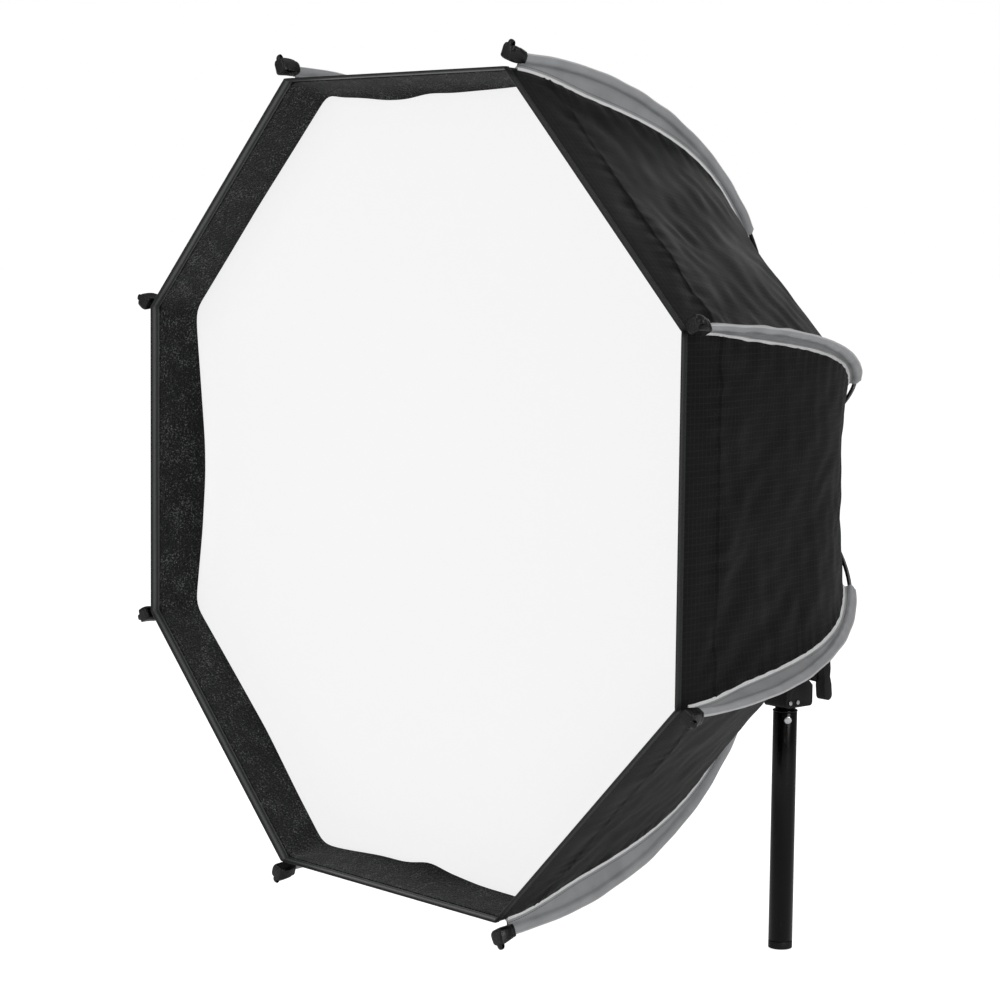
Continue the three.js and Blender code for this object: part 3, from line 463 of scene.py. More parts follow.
LIP_SEAMS = (2.6 * MM, 5.6 * MM, LIP_DEPTH - 2.2 * MM, LIP_DEPTH + 2.2 * MM)
looks = {
    "panel": panel_material("panel_ripstop"),
    "lip": panel_material("lip_ripstop", LIP_SEAMS),
    "lining": lining_material(),
    "sleeve": sleeve_material(),
    "tape": loop_material(),
    "binding": binding_material(),
    "diffuser": diffuser_material(),
    "leather": leather_material(),
    "tube": painted_material(
        "satin_black_tube", (0.0018, 0.0018, 0.002), (0.003, 0.003, 0.0032), 0.2, 900, 0.03 * MM
    ),
    "bracket": painted_material(
        "textured_black_cast", (0.006, 0.006, 0.0065), (0.01, 0.01, 0.0107), 0.4, 1500, 0.1 * MM
    ),
    "rod": painted_material(
        "black_enamel_rod", (0.004, 0.004, 0.0045), (0.007, 0.007, 0.0075), 0.3, 700, 0.02 * MM
    ),
    "bright": metal_material("bright_zinc", (0.6, 0.61, 0.62), (0.78, 0.79, 0.8), 0.22),
    "wire": metal_material("drawn_wire", (0.42, 0.43, 0.44), (0.6, 0.61, 0.62), 0.3),
    "knob": moulded_material("glossy_nylon", (0.005, 0.005, 0.0053), (0.009, 0.009, 0.0095), 0.32),
    "hub": moulded_material("matt_nylon", (0.007, 0.007, 0.0073), (0.012, 0.012, 0.0127), 0.46),
}

# -------------------------------- mesh helpers

TURNED_SIDES = 64


def to_row(points):
    """Canopy points (x, depth, z) in the row frame."""
    return np.asarray(points, float) + np.array([0, front_y, axis_z])


def make_piece(name, points, faces, materials, body, uv=None, normals=None, which=None):
    """A piece from arrays. uv and normals are one to a point, and which gives each face's material."""
    mesh = bpy.data.meshes.new(name)
    mesh.from_pydata([tuple(p) for p in points], [], [tuple(f) for f in faces])
    for material in materials:
        mesh.materials.append(looks[material])
    mesh.polygons.foreach_set("use_smooth", np.ones(len(mesh.polygons), bool))
    if which is not None:
        mesh.polygons.foreach_set("material_index", np.asarray(which, np.int32))
    if uv is not None:
        corners = np.zeros(len(mesh.loops), np.int32)
        mesh.loops.foreach_get("vertex_index", corners)
        layer = mesh.uv_layers.new(name="cloth")
        layer.uv.foreach_set("vector", np.asarray(uv, np.float32)[corners].ravel())
    mesh.update()
    if normals is not None:
        mesh.normals_split_custom_set_from_vertices([tuple(n) for n in normals])
    piece = bpy.data.objects.new(name, mesh)
    bpy.context.scene.collection.objects.link(piece)
    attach(piece, body)
    return piece


def slab_faces(rows, columns, flipped):
    """Faces of a closed slab made of two grids, with a rim all round, and 1 for each face of the second."""
    at = np.arange(rows * columns).reshape(rows, columns)
    low = rows * columns
    a, b, c, d = at[:-1, :-1], at[1:, :-1], at[1:, 1:], at[:-1, 1:]
    first = np.stack([a, b, c, d], -1).reshape(-1, 4)
    second = first[:, ::-1] + low
    edges = np.concatenate(
        [
            np.stack([at[:-1, 0], at[1:, 0]], -1), np.stack([at[-1, :-1], at[-1, 1:]], -1),
            np.stack([at[1:, -1], at[:-1, -1]], -1), np.stack([at[0, 1:], at[0, :-1]], -1),
        ]
    )
    rim = np.stack([edges[:, 1], edges[:, 0], edges[:, 0] + low, edges[:, 1] + low], -1)
    faces = np.concatenate([first, second, rim])
    which = np.concatenate([np.zeros(len(first)), np.ones(len(second)), np.zeros(len(rim))])
    return (faces[:, ::-1] if flipped else faces), which


def slab(name, outer, inner, normals, uv, materials, body):
    """A closed sheet between two grids of points. normals face out of the outer one."""
    rows, columns = outer.shape[:2]
    across = np.cross(outer[1, 0] - outer[0, 0], outer[0, 1] - outer[0, 0])
    faces, which = slab_faces(rows, columns, across @ normals[0, 0] < 0)
    points = np.concatenate([outer.reshape(-1, 3), inner.reshape(-1, 3)])
    flat = normals.reshape(-1, 3)
    return make_piece(
        name, to_row(points), faces, materials, body, np.concatenate([uv.reshape(-1, 2)] * 2),
        np.concatenate([flat, -flat]), which if len(materials) > 1 else None,
    )


def loft(name, rings, materials, body, uv=None, closed=False):
    """Rings of points joined in order. closed joins the last ring to the first."""
    rings = np.asarray(rings, float)
    count, sides = rings.shape[:2]
    at = np.arange(count * sides).reshape(count, sides)
    if closed:
        at = np.concatenate([at, at[:1]])
    turned = np.roll(at, -1, axis=1)
    faces = np.stack([at[:-1], turned[:-1], turned[1:], at[1:]], -1).reshape(-1, 4).tolist()
    if not closed:
        faces += [at[0][::-1].tolist(), at[-1].tolist()]
    points = rings.reshape(-1, 3)
    corners = [(points[f[0]], points[f[i]], points[f[i + 1]]) for f in faces for i in range(1, len(f) - 1)]
    volume = sum(np.dot(p, np.cross(q, r)) for p, q, r in corners)
    if volume < 0:
        faces = [f[::-1] for f in faces]
    piece = make_piece(
        name, points, faces, materials, body, None if uv is None else np.reshape(uv, (-1, 2))
    )
    piece.data.set_sharp_from_angle(angle=math.radians(50))
    return piece


def tube(path, radius, sides=14, closed=False):
    """Rings of a round tube along a path of points, which may thin towards its ends."""
    path = np.asarray(path, float)
    ahead = np.roll(path, -1, 0) - np.roll(path, 1, 0)
    if not closed:
        ahead[0], ahead[-1] = path[1] - path[0], path[-1] - path[-2]
    ahead /= np.linalg.norm(ahead, axis=1, keepdims=True)
    radii = np.broadcast_to(radius, len(path))
    side = np.cross(ahead[0], [0.31, 0.27, 0.91])
    rings = []
    turns = np.arange(sides) * 2 * math.pi / sides
    for point, way, size in zip(path, ahead, radii):
        side = side - way * (side @ way)
        side /= np.linalg.norm(side)
        other = np.cross(way, side)
        rings.append([point + size * (math.cos(t) * side + math.sin(t) * other) for t in turns])
    return rings


def revolve(profile):
    """Rings of a body turned about Z from (radius, height) pairs that go round its section."""
    turns = np.arange(TURNED_SIDES) * 2 * math.pi / TURNED_SIDES
    return [[(r * math.cos(t), r * math.sin(t), z) for r, z in profile] for t in turns]


def refined(node, material, bevel, angle=32, segments=3):
    """A copy of a CAD node with rounded edges, which stands for it."""
    source = frame["nodes"][node]
    form = bmesh.new()
    form.from_mesh(source.data)
    bmesh.ops.remove_doubles(form, verts=form.verts, dist=1e-5)
    bmesh.ops.dissolve_limit(form, angle_limit=math.radians(1), verts=form.verts, edges=form.edges)
    mesh = bpy.data.meshes.new(node + "_form")
    form.to_mesh(mesh)
    form.free()
    piece = bpy.data.objects.new(node + "_form", mesh)
    bpy.context.scene.collection.objects.link(piece)
    edge = piece.modifiers.new("edges", "BEVEL")
    edge.width = bevel
    edge.segments = segments
    edge.limit_method = "ANGLE"
    edge.angle_limit = math.radians(angle)
    edge.use_clamp_overlap = True
    graph = bpy.context.evaluated_depsgraph_get()
    final = bpy.data.meshes.new_from_object(piece.evaluated_get(graph))
    piece.modifiers.clear()
    piece.data = final
    final.materials.clear()
    final.materials.append(looks[material])
    final.polygons.foreach_set("material_index", np.zeros(len(final.polygons), np.int32))
    final.polygons.foreach_set("use_smooth", np.ones(len(final.polygons), bool))
    final.set_sharp_from_angle(angle=math.radians(34))
    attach(piece, source["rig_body"])
    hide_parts(node)
    return piece


# -------------------------------- the canopy's shape


def smooth(value, low, high):
    x = np.clip((value - low) / (high - low), 0, 1)
    return x * x * (3 - 2 * x)


def fin_width(angle):
    rise = FIN_TIP + (FIN_BELLY - FIN_TIP) * smooth(angle, 0, FIN_BELLY_ANGLE)
    fall = FIN_BELLY + (FIN_BACK - FIN_BELLY) * smooth(angle, FIN_BELLY_ANGLE, FIN_SETTLE_ANGLE)
    return np.where(angle < FIN_BELLY_ANGLE, rise, fall)


def on_arc(angle, height):
    """Radius and depth of points that stand a height above the sleeve's outer edge."""
    reach = SLEEVE_ARC + height
    return ARC_CENTRE + reach * np.cos(angle), reach * np.sin(angle)


# The middle line of a panel, sampled finely: where it runs, its length and which way it faces.
LINE_ANGLE = np.linspace(-0.02, math.radians(69.5), 2400)
LINE_RADIUS, LINE_DEPTH = on_arc(LINE_ANGLE, -fin_width(LINE_ANGLE))
LINE_OUT = LINE_RADIUS * math.cos(HALF)
_step = np.hypot(np.diff(LINE_OUT), np.diff(LINE_DEPTH))
LINE_LENGTH = np.concatenate([[0], np.cumsum(_step)])
LINE_LENGTH -= np.interp(0, LINE_DEPTH, LINE_LENGTH)
_slope_out, _slope_depth = np.gradient(LINE_OUT), np.gradient(LINE_DEPTH)
_size = np.hypot(_slope_out, _slope_depth)
FACING_OUT, FACING_DEPTH = _slope_depth / _size, -_slope_out / _size


WAVES = 9  # how many are added up
# Heights of the cloth's relief, and the sizes and pitches of what makes it.
BELLY = 5 * MM
SWELL, SWELL_SIZE = 1.1 * MM, 120 * MM
RIPPLE, RIPPLE_SIZE = 0.42 * MM, 42 * MM
FAN = 0.95 * MM
SLANT, SLANT_PITCH = 0.35 * MM, 34 * MM
PUCKER, PUCKER_PITCH = 0.6 * MM, 21 * MM
PINCH, PINCH_PITCH = 0.45 * MM, 17 * MM
GROOVE, GROOVE_HALF = 0.9 * MM, 1.3 * MM
RIDGE = 0.6 * MM


def swung(azimuth, out, depth, across):
    """Canopy points from their distances outwards, behind the edge and sideways at an azimuth."""
    x = out * math.cos(azimuth) - across * math.sin(azimuth)
    z = out * math.sin(azimuth) + across * math.cos(azimuth)
    return np.stack([x, depth + 0 * x, z], -1)


def length_at(depth):
    return float(np.interp(depth, LINE_DEPTH, LINE_LENGTH))


def waves(x, y, size, seed):
    """Smooth random waves, about a size across."""
    dice = np.random.default_rng(seed)
    turn = dice.uniform(0, math.pi, WAVES)
    stretch = dice.uniform(0.6, 1.6, WAVES) * 2 * math.pi / size
    phase = dice.uniform(0, 2 * math.pi, WAVES)
    total = 0
    for t, k, p in zip(turn, stretch, phase):
        total = total + np.sin(k * (x * math.cos(t) + y * math.sin(t)) + p)
    return total / math.sqrt(WAVES)


def relief(side, along, depth, across, half):
    """How far a panel's cloth stands off its ruled surface: its belly, folds and puckers."""
    edge = half - np.abs(across)
    middle = 1 - (across / half) ** 2
    held = 1 - np.exp(-((edge / (7 * MM)) ** 2))
    rear = 1 - smooth(depth, 0.4, 0.455)
    free = smooth(along, 0.004, 0.07)
    total = -BELLY * middle * smooth(depth, 0.04, 0.2) * rear
    loose = free * rear
    total = total + SWELL * waves(across, along, SWELL_SIZE, 100 + side) * middle * loose
    total = total + RIPPLE * waves(across, along, RIPPLE_SIZE, 120 + side) * held * loose
    # Folds that fan out of the two front corners.
    for sign in (-1, 1):
        reach = np.hypot(half - sign * across, along)
        angle = np.arctan2(along, half - sign * across + 1e-6)
        fan = np.sin(angle * (11 + side % 3) + side * 1.7 + sign + 6 * reach)
        fade = smooth(reach, 0.015, 0.06) * (1 - smooth(reach, 0.09, 0.26))
        total = total + FAN * fan * fade * held * free
    # Long slanting folds that the bowed ribs pull across the panel.
    slant = across * (0.9 if side % 2 else -0.9) + along * 0.55
    pull = np.sin(slant * 2 * math.pi / SLANT_PITCH + 2.2 * waves(across, along, 0.16, 140 + side))
    patches = smooth(waves(across, along, 0.2, 160 + side), 0.0, 0.9)
    total = total + SLANT * pull * patches * held * loose
    # Puckers along the sewn edges.
    gather = np.sin(along * 2 * math.pi / PUCKER_PITCH + 2.5 * waves(along, across * 0, 0.09, 180 + side))
    total = total + PUCKER * gather * np.exp(-edge / 0.016) * (1 - np.exp(-edge / 0.003)) * free
    seam = np.abs(along - length_at(LIP_DEPTH))
    pinch = np.sin(across * 2 * math.pi / PINCH_PITCH + 2 * waves(across, along * 0, 0.08, 200 + side))
    total = total + PINCH * pinch * np.exp(-seam / 0.013) * held
    total = total - GROOVE * np.exp(-((seam / GROOVE_HALF) ** 2))
    total = total + RIDGE * (smooth(seam, 0, 0.003) - smooth(seam, 0.003, 0.006))
    return total


def cloth_point(side, angle, share, inwards=0.0):
    """Points on a panel: angle along the rib's arc, and share from -1 at one rib to 1 at the next."""
    angle, share = np.broadcast_arrays(np.asarray(angle, float), np.asarray(share, float))
    out = np.interp(angle, LINE_ANGLE, LINE_OUT)
    depth = np.interp(angle, LINE_ANGLE, LINE_DEPTH)
    along = np.interp(angle, LINE_ANGLE, LINE_LENGTH)
    half = out * math.tan(HALF)
    across = share * half
    lift = relief(side, along, depth, across, half) - inwards
    out = out + lift * np.interp(angle, LINE_ANGLE, FACING_OUT)
    depth = depth + lift * np.interp(angle, LINE_ANGLE, FACING_DEPTH)
    return swung(side * STEP, out, depth, across), np.stack([across + side * 0.4, along], -1)


def rib_grid(rib, angles, shares, inwards=0.0):
    """Points, normals and places of the cloth about a rib. shares run from -1, the middle of the panel
    before it, through 0 at the rib, to 1, the middle of the panel after it."""
    sides = (rib - 1 or RIBS, rib)
    tiny = 1e-4
    near, far = [], []
    for side, sign in zip(sides, (1, -1)):
        chosen = shares[shares <= 0] if sign > 0 else shares[shares >= 0]
        a, s = np.meshgrid(angles, sign + chosen, indexing="ij")
        points, place = cloth_point(side, a, s, inwards)
        down = cloth_point(side, a + tiny, s, inwards)[0] - cloth_point(side, a - tiny, s, inwards)[0]
        over = cloth_point(side, a, s + tiny, inwards)[0] - cloth_point(side, a, s - tiny, inwards)[0]
        normal = np.cross(over, down)
        normal /= np.linalg.norm(normal, axis=-1, keepdims=True)
        outwards = np.array([math.cos(side * STEP), 0, math.sin(side * STEP)])
        if (normal @ outwards).mean() < 0:
            normal = -normal
        (near if sign > 0 else far).extend([points, normal, place])
    joined = []
    for one, two in zip(near, far):
        if one.shape[-1] == 3:
            one[:, -1] = (one[:, -1] + two[:, 0]) / 2
        joined.append(np.concatenate([one, two[:, 1:]], axis=1))
    joined[1] /= np.linalg.norm(joined[1], axis=-1, keepdims=True)
    return joined


def rib_sideways(rib):
    """Sideways direction of a rib, in the row frame."""
    azimuth = (rib - 0.5) * STEP
    return Vector((-math.sin(azimuth), 0, math.cos(azimuth)))


def gather(piece, rib, keep):
    """Gives a piece of cloth on a rib its own copy of its mesh."""
    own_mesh(piece)


# -------------------------------- canopy cloth

CELL = 3.2 * MM
HALF_COLUMNS = 46
CLOTH = 0.6 * MM
# Name, the depths where a band starts and ends, and the share of its width kept when folded.
BANDS = (
    ("lip", 0.0, LIP_DEPTH, 0.15), ("front", LIP_DEPTH, 0.125, 0.24),
    ("middle", 0.125, 0.225, 0.36), ("rear", 0.225, 0.33, 0.5),
    ("hub", 0.33, CLOTH_END_DEPTH, 0.66),
)
shares = np.linspace(-1, 1, 2 * HALF_COLUMNS + 1)


def angles_between(low, high):
    first, last = np.interp([low, high], LINE_DEPTH, LINE_ANGLE)
    count = max(4, round((length_at(high) - length_at(low)) / CELL))
    return np.linspace(first, last, count + 1)


def declare(grid):
    """Works out the flat size a band of cloth about a rib was cut to, and keeps nothing of it."""
    points = grid[0]
    width = float(np.linalg.norm(np.diff(points, axis=1), axis=-1).sum(1).max())
    length = float(np.linalg.norm(np.diff(points, axis=0), axis=-1).sum(0).max())
    width, length = math.ceil(width * 1000) / 1000, math.ceil(length * 1000) / 1000


for rib in range(1, RIBS + 1):
    for band, low, high, keep in BANDS:
        angles = angles_between(low, high)
        outer = rib_grid(rib, angles, shares)
        inner = rib_grid(rib, angles, shares, CLOTH)
        skin = slab(
            f"canopy_{band}_{rib}", outer[0], inner[0], outer[1], outer[2],
            ["lip" if band == "lip" else "panel", "lining"], f"rib_{rib}",
        )
        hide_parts(f"canopy_panel_{rib}")
        gather(skin, rib, keep)
        declare(outer)

    # The fastening tape sewn inside the lip.
    angles = angles_between(7.6 * MM, LIP_DEPTH - 0.6 * MM)
    face = rib_grid(rib, angles, shares, CLOTH + 1.1 * MM)
    back = rib_grid(rib, angles, shares, CLOTH + 0.1 * MM)
    tape = slab(
        f"lip_tape_{rib}", face[0], back[0], -face[1], face[2], ["tape"], f"rib_{rib}"
    )
    gather(tape, rib, 0.15)
    declare(face)

    # The binding folded over the front edge: height off the cloth's outer face, and distance along.
    section = (
        (0.25, 5.0), (0.75, 4.6), (0.85, 3.4), (0.6, 3.1), (0.9, 2.7), (0.85, 0.8), (0.5, -0.6), (-0.3, -1.2),
        (-1.1, -0.7), (-1.75, 0.6), (-1.95, 2.6), (-1.85, 4.9), (-1.3, 5.7), (-1.3, 6.0), (-1.9, 6.8),
        (-1.9, 8.1), (-1.3, 8.6), (-0.85, 7.0), (-0.75, 3.0), (-0.1, 3.0),
    )  # fmt: skip
    rings = []
    places = []
    for height, along in section:
        angle = np.interp(along * MM, LINE_LENGTH, LINE_ANGLE)
        strip = rib_grid(rib, np.array([angle, angle + 1e-5]), shares, -height * MM)
        rings.append(strip[0][0])
        # The stitches are on the inner side, where the place along is above 0.
        place = along if height < -0.2 else -along
        places.append(np.stack([strip[2][0][:, 0], np.full(len(shares), place * MM)], -1))
    binding = loft(
        f"edge_binding_{rib}", to_row(np.swapaxes(rings, 0, 1)), ["binding"], f"rib_{rib}",
        np.swapaxes(places, 0, 1),
    )
    gather(binding, rib, 0.15)

# -------------------------------- sleeves, rods and caps

# Half the sleeve's section: height from its outer edge, and half its thickness.
POCKET = (
    (0.0, 0.15), (-0.35, 0.6), (-1.3, 0.95), (-2.4, 1.6), (-3.6, 2.6), (-5.2, 3.2), (-6.8, 3.2),
    (-8.3, 2.4), (-9.4, 1.4), (-10.6, 0.85),
)  # fmt: skip
FIN = ((0.25, 0.72), (0.5, 0.68), (0.75, 0.72), (0.9, 0.85))
SEAM_FOOT = ((1.4, 1.1), (0.5, 1.7), (-0.5, 2.3), (-1.1, 2.4))


def rib_points(rib, radius, depth, sideways):
    """Canopy points from a rib's own radius, depth and sideways offset."""
    return swung((rib - 0.5) * STEP, radius, depth, sideways)


def make_sleeve(rib):
    start = math.asin((CAP_BACK - 3 * MM) / ROD_ARC)
    rings, places, heights = [], [], []
    for angle in np.linspace(start, SLEEVE_END_ANGLE, 170):
        width = float(fin_width(angle))
        foot = -10.6 * MM
        section = [(u * MM, v * MM) for u, v in POCKET]
        section += [(foot + (foot + width) * -f, v * MM) for f, v in FIN]
        section += [(-width + u * MM, v * MM) for u, v in SEAM_FOOT]
        half = np.array(section)
        along = angle * SLEEVE_ARC
        sway = 0.55 * MM * waves(along, 0.0, 0.07, 300 + rib)
        swell = 1 + 0.1 * waves(along, 0.0, 0.03, 320 + rib)
        lift = 0.35 * MM * waves(along, 0.0, 0.06, 340 + rib)
        share = np.clip((half[:, 0] + width) / width, 0, 1)
        bend = np.sin(share * math.pi) * sway
        u = np.concatenate([half[:, 0], half[::-1, 0]])
        v = np.concatenate([half[:, 1] * swell + bend, (-half[:, 1] * swell + bend)[::-1]])
        edge = np.concatenate([share, share[::-1]])
        radius, depth = on_arc(angle, u + lift * edge)
        rings.append(to_row(rib_points(rib, radius, depth, v)))
        places.append(np.stack([np.full(len(u), along), u], -1))
        heights.append(u + width)
    piece = loft(f"rib_sleeve_{rib}_cloth", rings, ["sleeve"], f"rib_{rib}", places)
    layer = piece.data.attributes.new("from_seam", "FLOAT", "POINT")
    layer.data.foreach_set("value", np.ravel(heights).astype(np.float32))
    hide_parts(f"rib_sleeve_{rib}")


EYE_RING = 3.5 * MM  # radius of the rod's eye
EYE_THICK = 1.35 * MM
EYE_WIDE = 2.2 * MM


def widened(rings, middle, rib, by):
    """Rings drawn out sideways from a rib's middle plane."""
    sideways = np.array(rib_sideways(rib))
    return [[p + sideways * ((p - middle) @ sideways) * by for p in ring] for ring in rings]


def make_rod(rib):
    angles = np.linspace(math.asin(ROD_START / ROD_ARC), HINGE_ANGLE - 0.006, 110)
    radius, depth = on_arc(angles, -ROD_DEPTH)
    rings = tube(to_row(rib_points(rib, radius, depth, np.zeros(len(angles)))), ROD_RADIUS)
    rod = loft(f"rib_rod_{rib}_bow", rings, ["rod"], f"rib_{rib}")
    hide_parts(f"rib_rod_{rib}")
    # The rod's end is rolled into an eye round the hinge wire.
    turns = np.linspace(0, 2 * math.pi, 33)[:-1]
    path = rib_points(
        rib, HINGE_RADIUS + EYE_RING * np.cos(turns), HINGE_DEPTH + EYE_RING * np.sin(turns),
        np.zeros(len(turns)),
    )
    rings = tube(to_row(path), EYE_THICK, 12, closed=True)
    middle = to_row(rib_points(rib, HINGE_RADIUS, HINGE_DEPTH, 0.0))
    rings = widened(rings, middle, rib, EYE_WIDE / EYE_THICK - 1)
    loft(f"rib_eye_{rib}", rings, ["rod"], f"rib_{rib}", closed=True)


# The tip cap along its depth: depth, middle radius, half height and half width, in millimetres.
CAP_STATIONS = (
    (17.0, 408.4, 5.0, 5.4), (16.4, 408.4, 5.8, 6.1), (13.5, 408.8, 6.2, 6.4), (12.6, 408.9, 5.8, 6.1),
    (11.8, 409.2, 6.5, 6.6), (7.0, 410.0, 7.0, 6.9), (3.0, 410.8, 7.2, 7.0), (0.0, 411.2, 7.2, 7.0),
    (-1.6, 411.4, 6.9, 6.8), (-2.3, 411.5, 5.8, 5.9), (-2.5, 411.5, 3.6, 3.8),
)  # fmt: skip


def make_cap(rib):
    dice = np.random.default_rng(400 + rib)
    phase = dice.uniform(0, 2 * math.pi, 3)
    turns = np.linspace(0, 2 * math.pi, 29)[:-1]
    rings = []
    for depth, middle, tall, wide in CAP_STATIONS:
        crease = 1 + 0.05 * np.sin(3 * turns + phase[0] + depth * 0.3) + 0.03 * np.sin(7 * turns + phase[1])
        c, s = np.cos(turns), np.sin(turns)
        squareness = 0.5
        up = np.sign(c) * np.abs(c) ** squareness * tall * crease
        over = np.sign(s) * np.abs(s) ** squareness * wide * crease
        lean = 0.8 * math.sin(depth * 0.25 + phase[2])
        points = rib_points(rib, (middle + up) * MM, np.full(len(turns), depth * MM), (over + lean) * MM)
        rings.append(to_row(points))
    cap = loft(f"rib_tip_cap_{rib}_leather", rings, ["leather"], f"rib_{rib}")
    soften(cap)
    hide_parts(f"rib_tip_cap_{rib}")
    # A narrow pull loop sewn into the cap's nose.
    lap = np.linspace(-0.62 * math.pi, 0.78 * math.pi, 22)
    radius = (417.6 + 4.2 * np.cos(lap)) * MM
    depth = (0.4 + 2.2 * np.sin(lap)) * MM
    path = to_row(rib_points(rib, radius, depth, np.zeros(len(lap))))
    middle = to_row(rib_points(rib, 0.4, 0.0, 0.0))
    rings = widened(tube(path, 0.75 * MM, 10), middle, rib, 2.4)
    loft(f"rib_tip_loop_{rib}", rings, ["leather"], f"rib_{rib}")


def soften(piece):
    """One step of subdivision, applied."""
    step = piece.modifiers.new("rounding", "SUBSURF")
    step.levels = 1
    step.render_levels = 1
    graph = bpy.context.evaluated_depsgraph_get()
    mesh = bpy.data.meshes.new_from_object(piece.evaluated_get(graph))
    piece.modifiers.clear()
    piece.data = mesh


for rib in range(1, RIBS + 1):
    make_sleeve(rib)
    make_rod(rib)
    make_cap(rib)

# -------------------------------- diffuser and its tape

# How far the white cloth's edge hangs in from the lip, in millimetres, across each side.
INSETS = {
    1: ((-1, 2), (-0.4, 5), (0.2, 4), (0.6, 7), (1, 3)),
    2: (
        (-1, 3.5), (-0.64, 6), (-0.19, 8), (0.0, 7), (0.09, 8.5), (0.19, 11.5), (0.4, 12), (0.65, 8.5),
        (0.9, 7), (1, 4),
    ),
    3: ((-1, 3.5), (-0.5, 2.5), (0, 1.2), (0.5, 1.5), (1, 1.5)),
    4: ((-1, 1), (-0.8, 4), (-0.59, 8), (-0.12, 16.5), (0.1, 17.5), (0.49, 12.5), (0.83, 5), (1, 1.5)),
    5: ((-1, 1.5), (-0.5, 4), (0.1, 6.5), (0.6, 3), (1, 2)),
    6: ((-1, 2), (-0.81, 2), (-0.41, 6), (-0.16, 6), (-0.05, 9), (0.06, 13), (0.22, 7.5), (0.54, 3), (1, 2)),
    7: ((-1, 2), (-0.3, 6), (0.3, 3), (1, 2)),
    8: ((-1, 2), (-0.5, 4), (0.1, 7), (0.6, 4), (1, 2)),
}  # fmt: skip
SIDE_SAMPLES = 48
BORDER_DEPTH = 47.5 * MM
TAPE_START = 9.2 * MM  # the tape runs forward to the edge binding
TAPE_WIDTH = LIP_DEPTH - TAPE_START
TAPE_OFF = CLOTH + 2.0 * MM  # the diffuser's tape lies this far inside the lip's outer face


def softened(values, reach):
    """A closed row of points, each averaged with those up to reach places away."""
    weights = np.array([1 + math.cos(math.pi * i / (reach + 1)) for i in range(-reach, reach + 1)])
    weights /= weights.sum()
    return sum(w * np.roll(values, i, 0) for w, i in zip(weights, range(-reach, reach + 1)))


def lip_ring(depth, off, inset=None):
    """Points round the inside of the lip at a depth, a distance off its outer face."""
    angle = float(np.interp(depth, LINE_DEPTH, LINE_ANGLE))
    out = float(np.interp(angle, LINE_ANGLE, LINE_OUT))
    rows = []
    for side in range(1, RIBS + 1):
        share = np.linspace(-1, 1, SIDE_SAMPLES + 1)[:-1]
        row = np.full(SIDE_SAMPLES, out - off)
        if inset is not None:
            row -= np.interp(share, *zip(*INSETS[side])) * MM * inset
        across = share * (out - off) * math.tan(HALF)
        rows.append(swung(side * STEP, row, depth, across))
    return np.concatenate(rows)


def make_diffuser():
    border = softened(lip_ring(BORDER_DEPTH, TAPE_OFF, 1.0), 3)
    around = len(border)
    # Tape: from the lip, curving in to the cloth's border.
    top = softened(lip_ring(TAPE_START, TAPE_OFF), 1)
    bend = softened(lip_ring(LIP_DEPTH - 8 * MM, TAPE_OFF, 0.1), 2)
    steps = np.linspace(0, 1, 20)
    face = np.stack([(1 - t) ** 2 * top + 2 * t * (1 - t) * bend + t * t * border for t in steps])
    inwards = -face * np.array([1, 0, 1])
    inwards /= np.linalg.norm(inwards, axis=-1, keepdims=True)
    front = np.array([0, -1.0, 0])
    lean = steps[:, None, None] ** 2
    facing = inwards * (1 - 0.5 * lean) + front * 0.5 * lean
    facing /= np.linalg.norm(facing, axis=-1, keepdims=True)
    places = np.stack(np.meshgrid(np.linspace(0, 2.4, around), steps * TAPE_WIDTH, indexing="xy"), -1)
    rings = np.concatenate([face, (face - facing * 0.9 * MM)[::-1]])
    uv = np.concatenate([places, places[::-1]])
    tape = loft(
        "diffuser_tape", to_row(np.swapaxes(rings, 0, 1)), ["tape"], "diffuser",
        np.swapaxes(uv, 0, 1), closed=True,
    )
    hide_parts("diffuser_hem")
    # Cloth: rings from the border to the middle.
    reach = np.concatenate([1 - np.linspace(0, 0.09, 10), np.linspace(0.88, 0.02, 34)])
    angle = np.arctan2(border[:, 2], border[:, 0])
    points = []
    for share in reach:
        ring = border * np.array([share, 1, share])
        inside = (1 - share) * 0.36
        sink = 2.8 * MM * smooth(inside, 0.0, 0.022)
        pucker = 0.5 * MM * np.sin(angle * 62 + 2 * np.sin(angle * 5)) * math.exp(-inside / 0.012)
        slack = 0.8 * MM * waves(ring[:, 0], ring[:, 2], 0.5, 500) * smooth(inside, 0, 0.08)
        ring[:, 1] += sink + pucker * (0.0 if share == 1 else 1.0) + slack
        points.append(ring)
    points = np.array(points)
    hub = points[-1].mean(0)
    thick = np.array([0, 0.5 * MM, 0])
    layers = [points.reshape(-1, 3), hub[None], (points + thick).reshape(-1, 3), (hub + thick)[None]]
    verts = np.concatenate(layers)
    low = len(points) * around + 1
    at = np.arange(len(points) * around).reshape(-1, around)
    turned = np.roll(at, -1, axis=1)
    quads = np.stack([at[:-1], turned[:-1], turned[1:], at[1:]], -1).reshape(-1, 4).tolist()
    last = at[-1]
    fan = [[int(a), int(b), low - 1] for a, b in zip(last, np.roll(last, -1))]
    front_faces = quads + fan
    back_faces = [[i + low for i in f[::-1]] for f in front_faces]
    rim = [[int(b), int(a), int(a) + low, int(b) + low] for a, b in zip(at[0], np.roll(at[0], -1))]
    faces = front_faces + back_faces + rim
    a, b, c = (verts[i] for i in faces[0][:3])
    if np.cross(b - a, c - a)[1] > 0:
        faces = [f[::-1] for f in faces]
    cloth = make_piece(
        "front_diffuser_cloth", to_row(verts), faces, ["diffuser"], "diffuser",
        verts[:, [0, 2]],
    )
    cloth.data.set_sharp_from_angle(angle=math.radians(50))
    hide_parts("front_diffuser")


make_diffuser()

# -------------------------------- hub and bracket

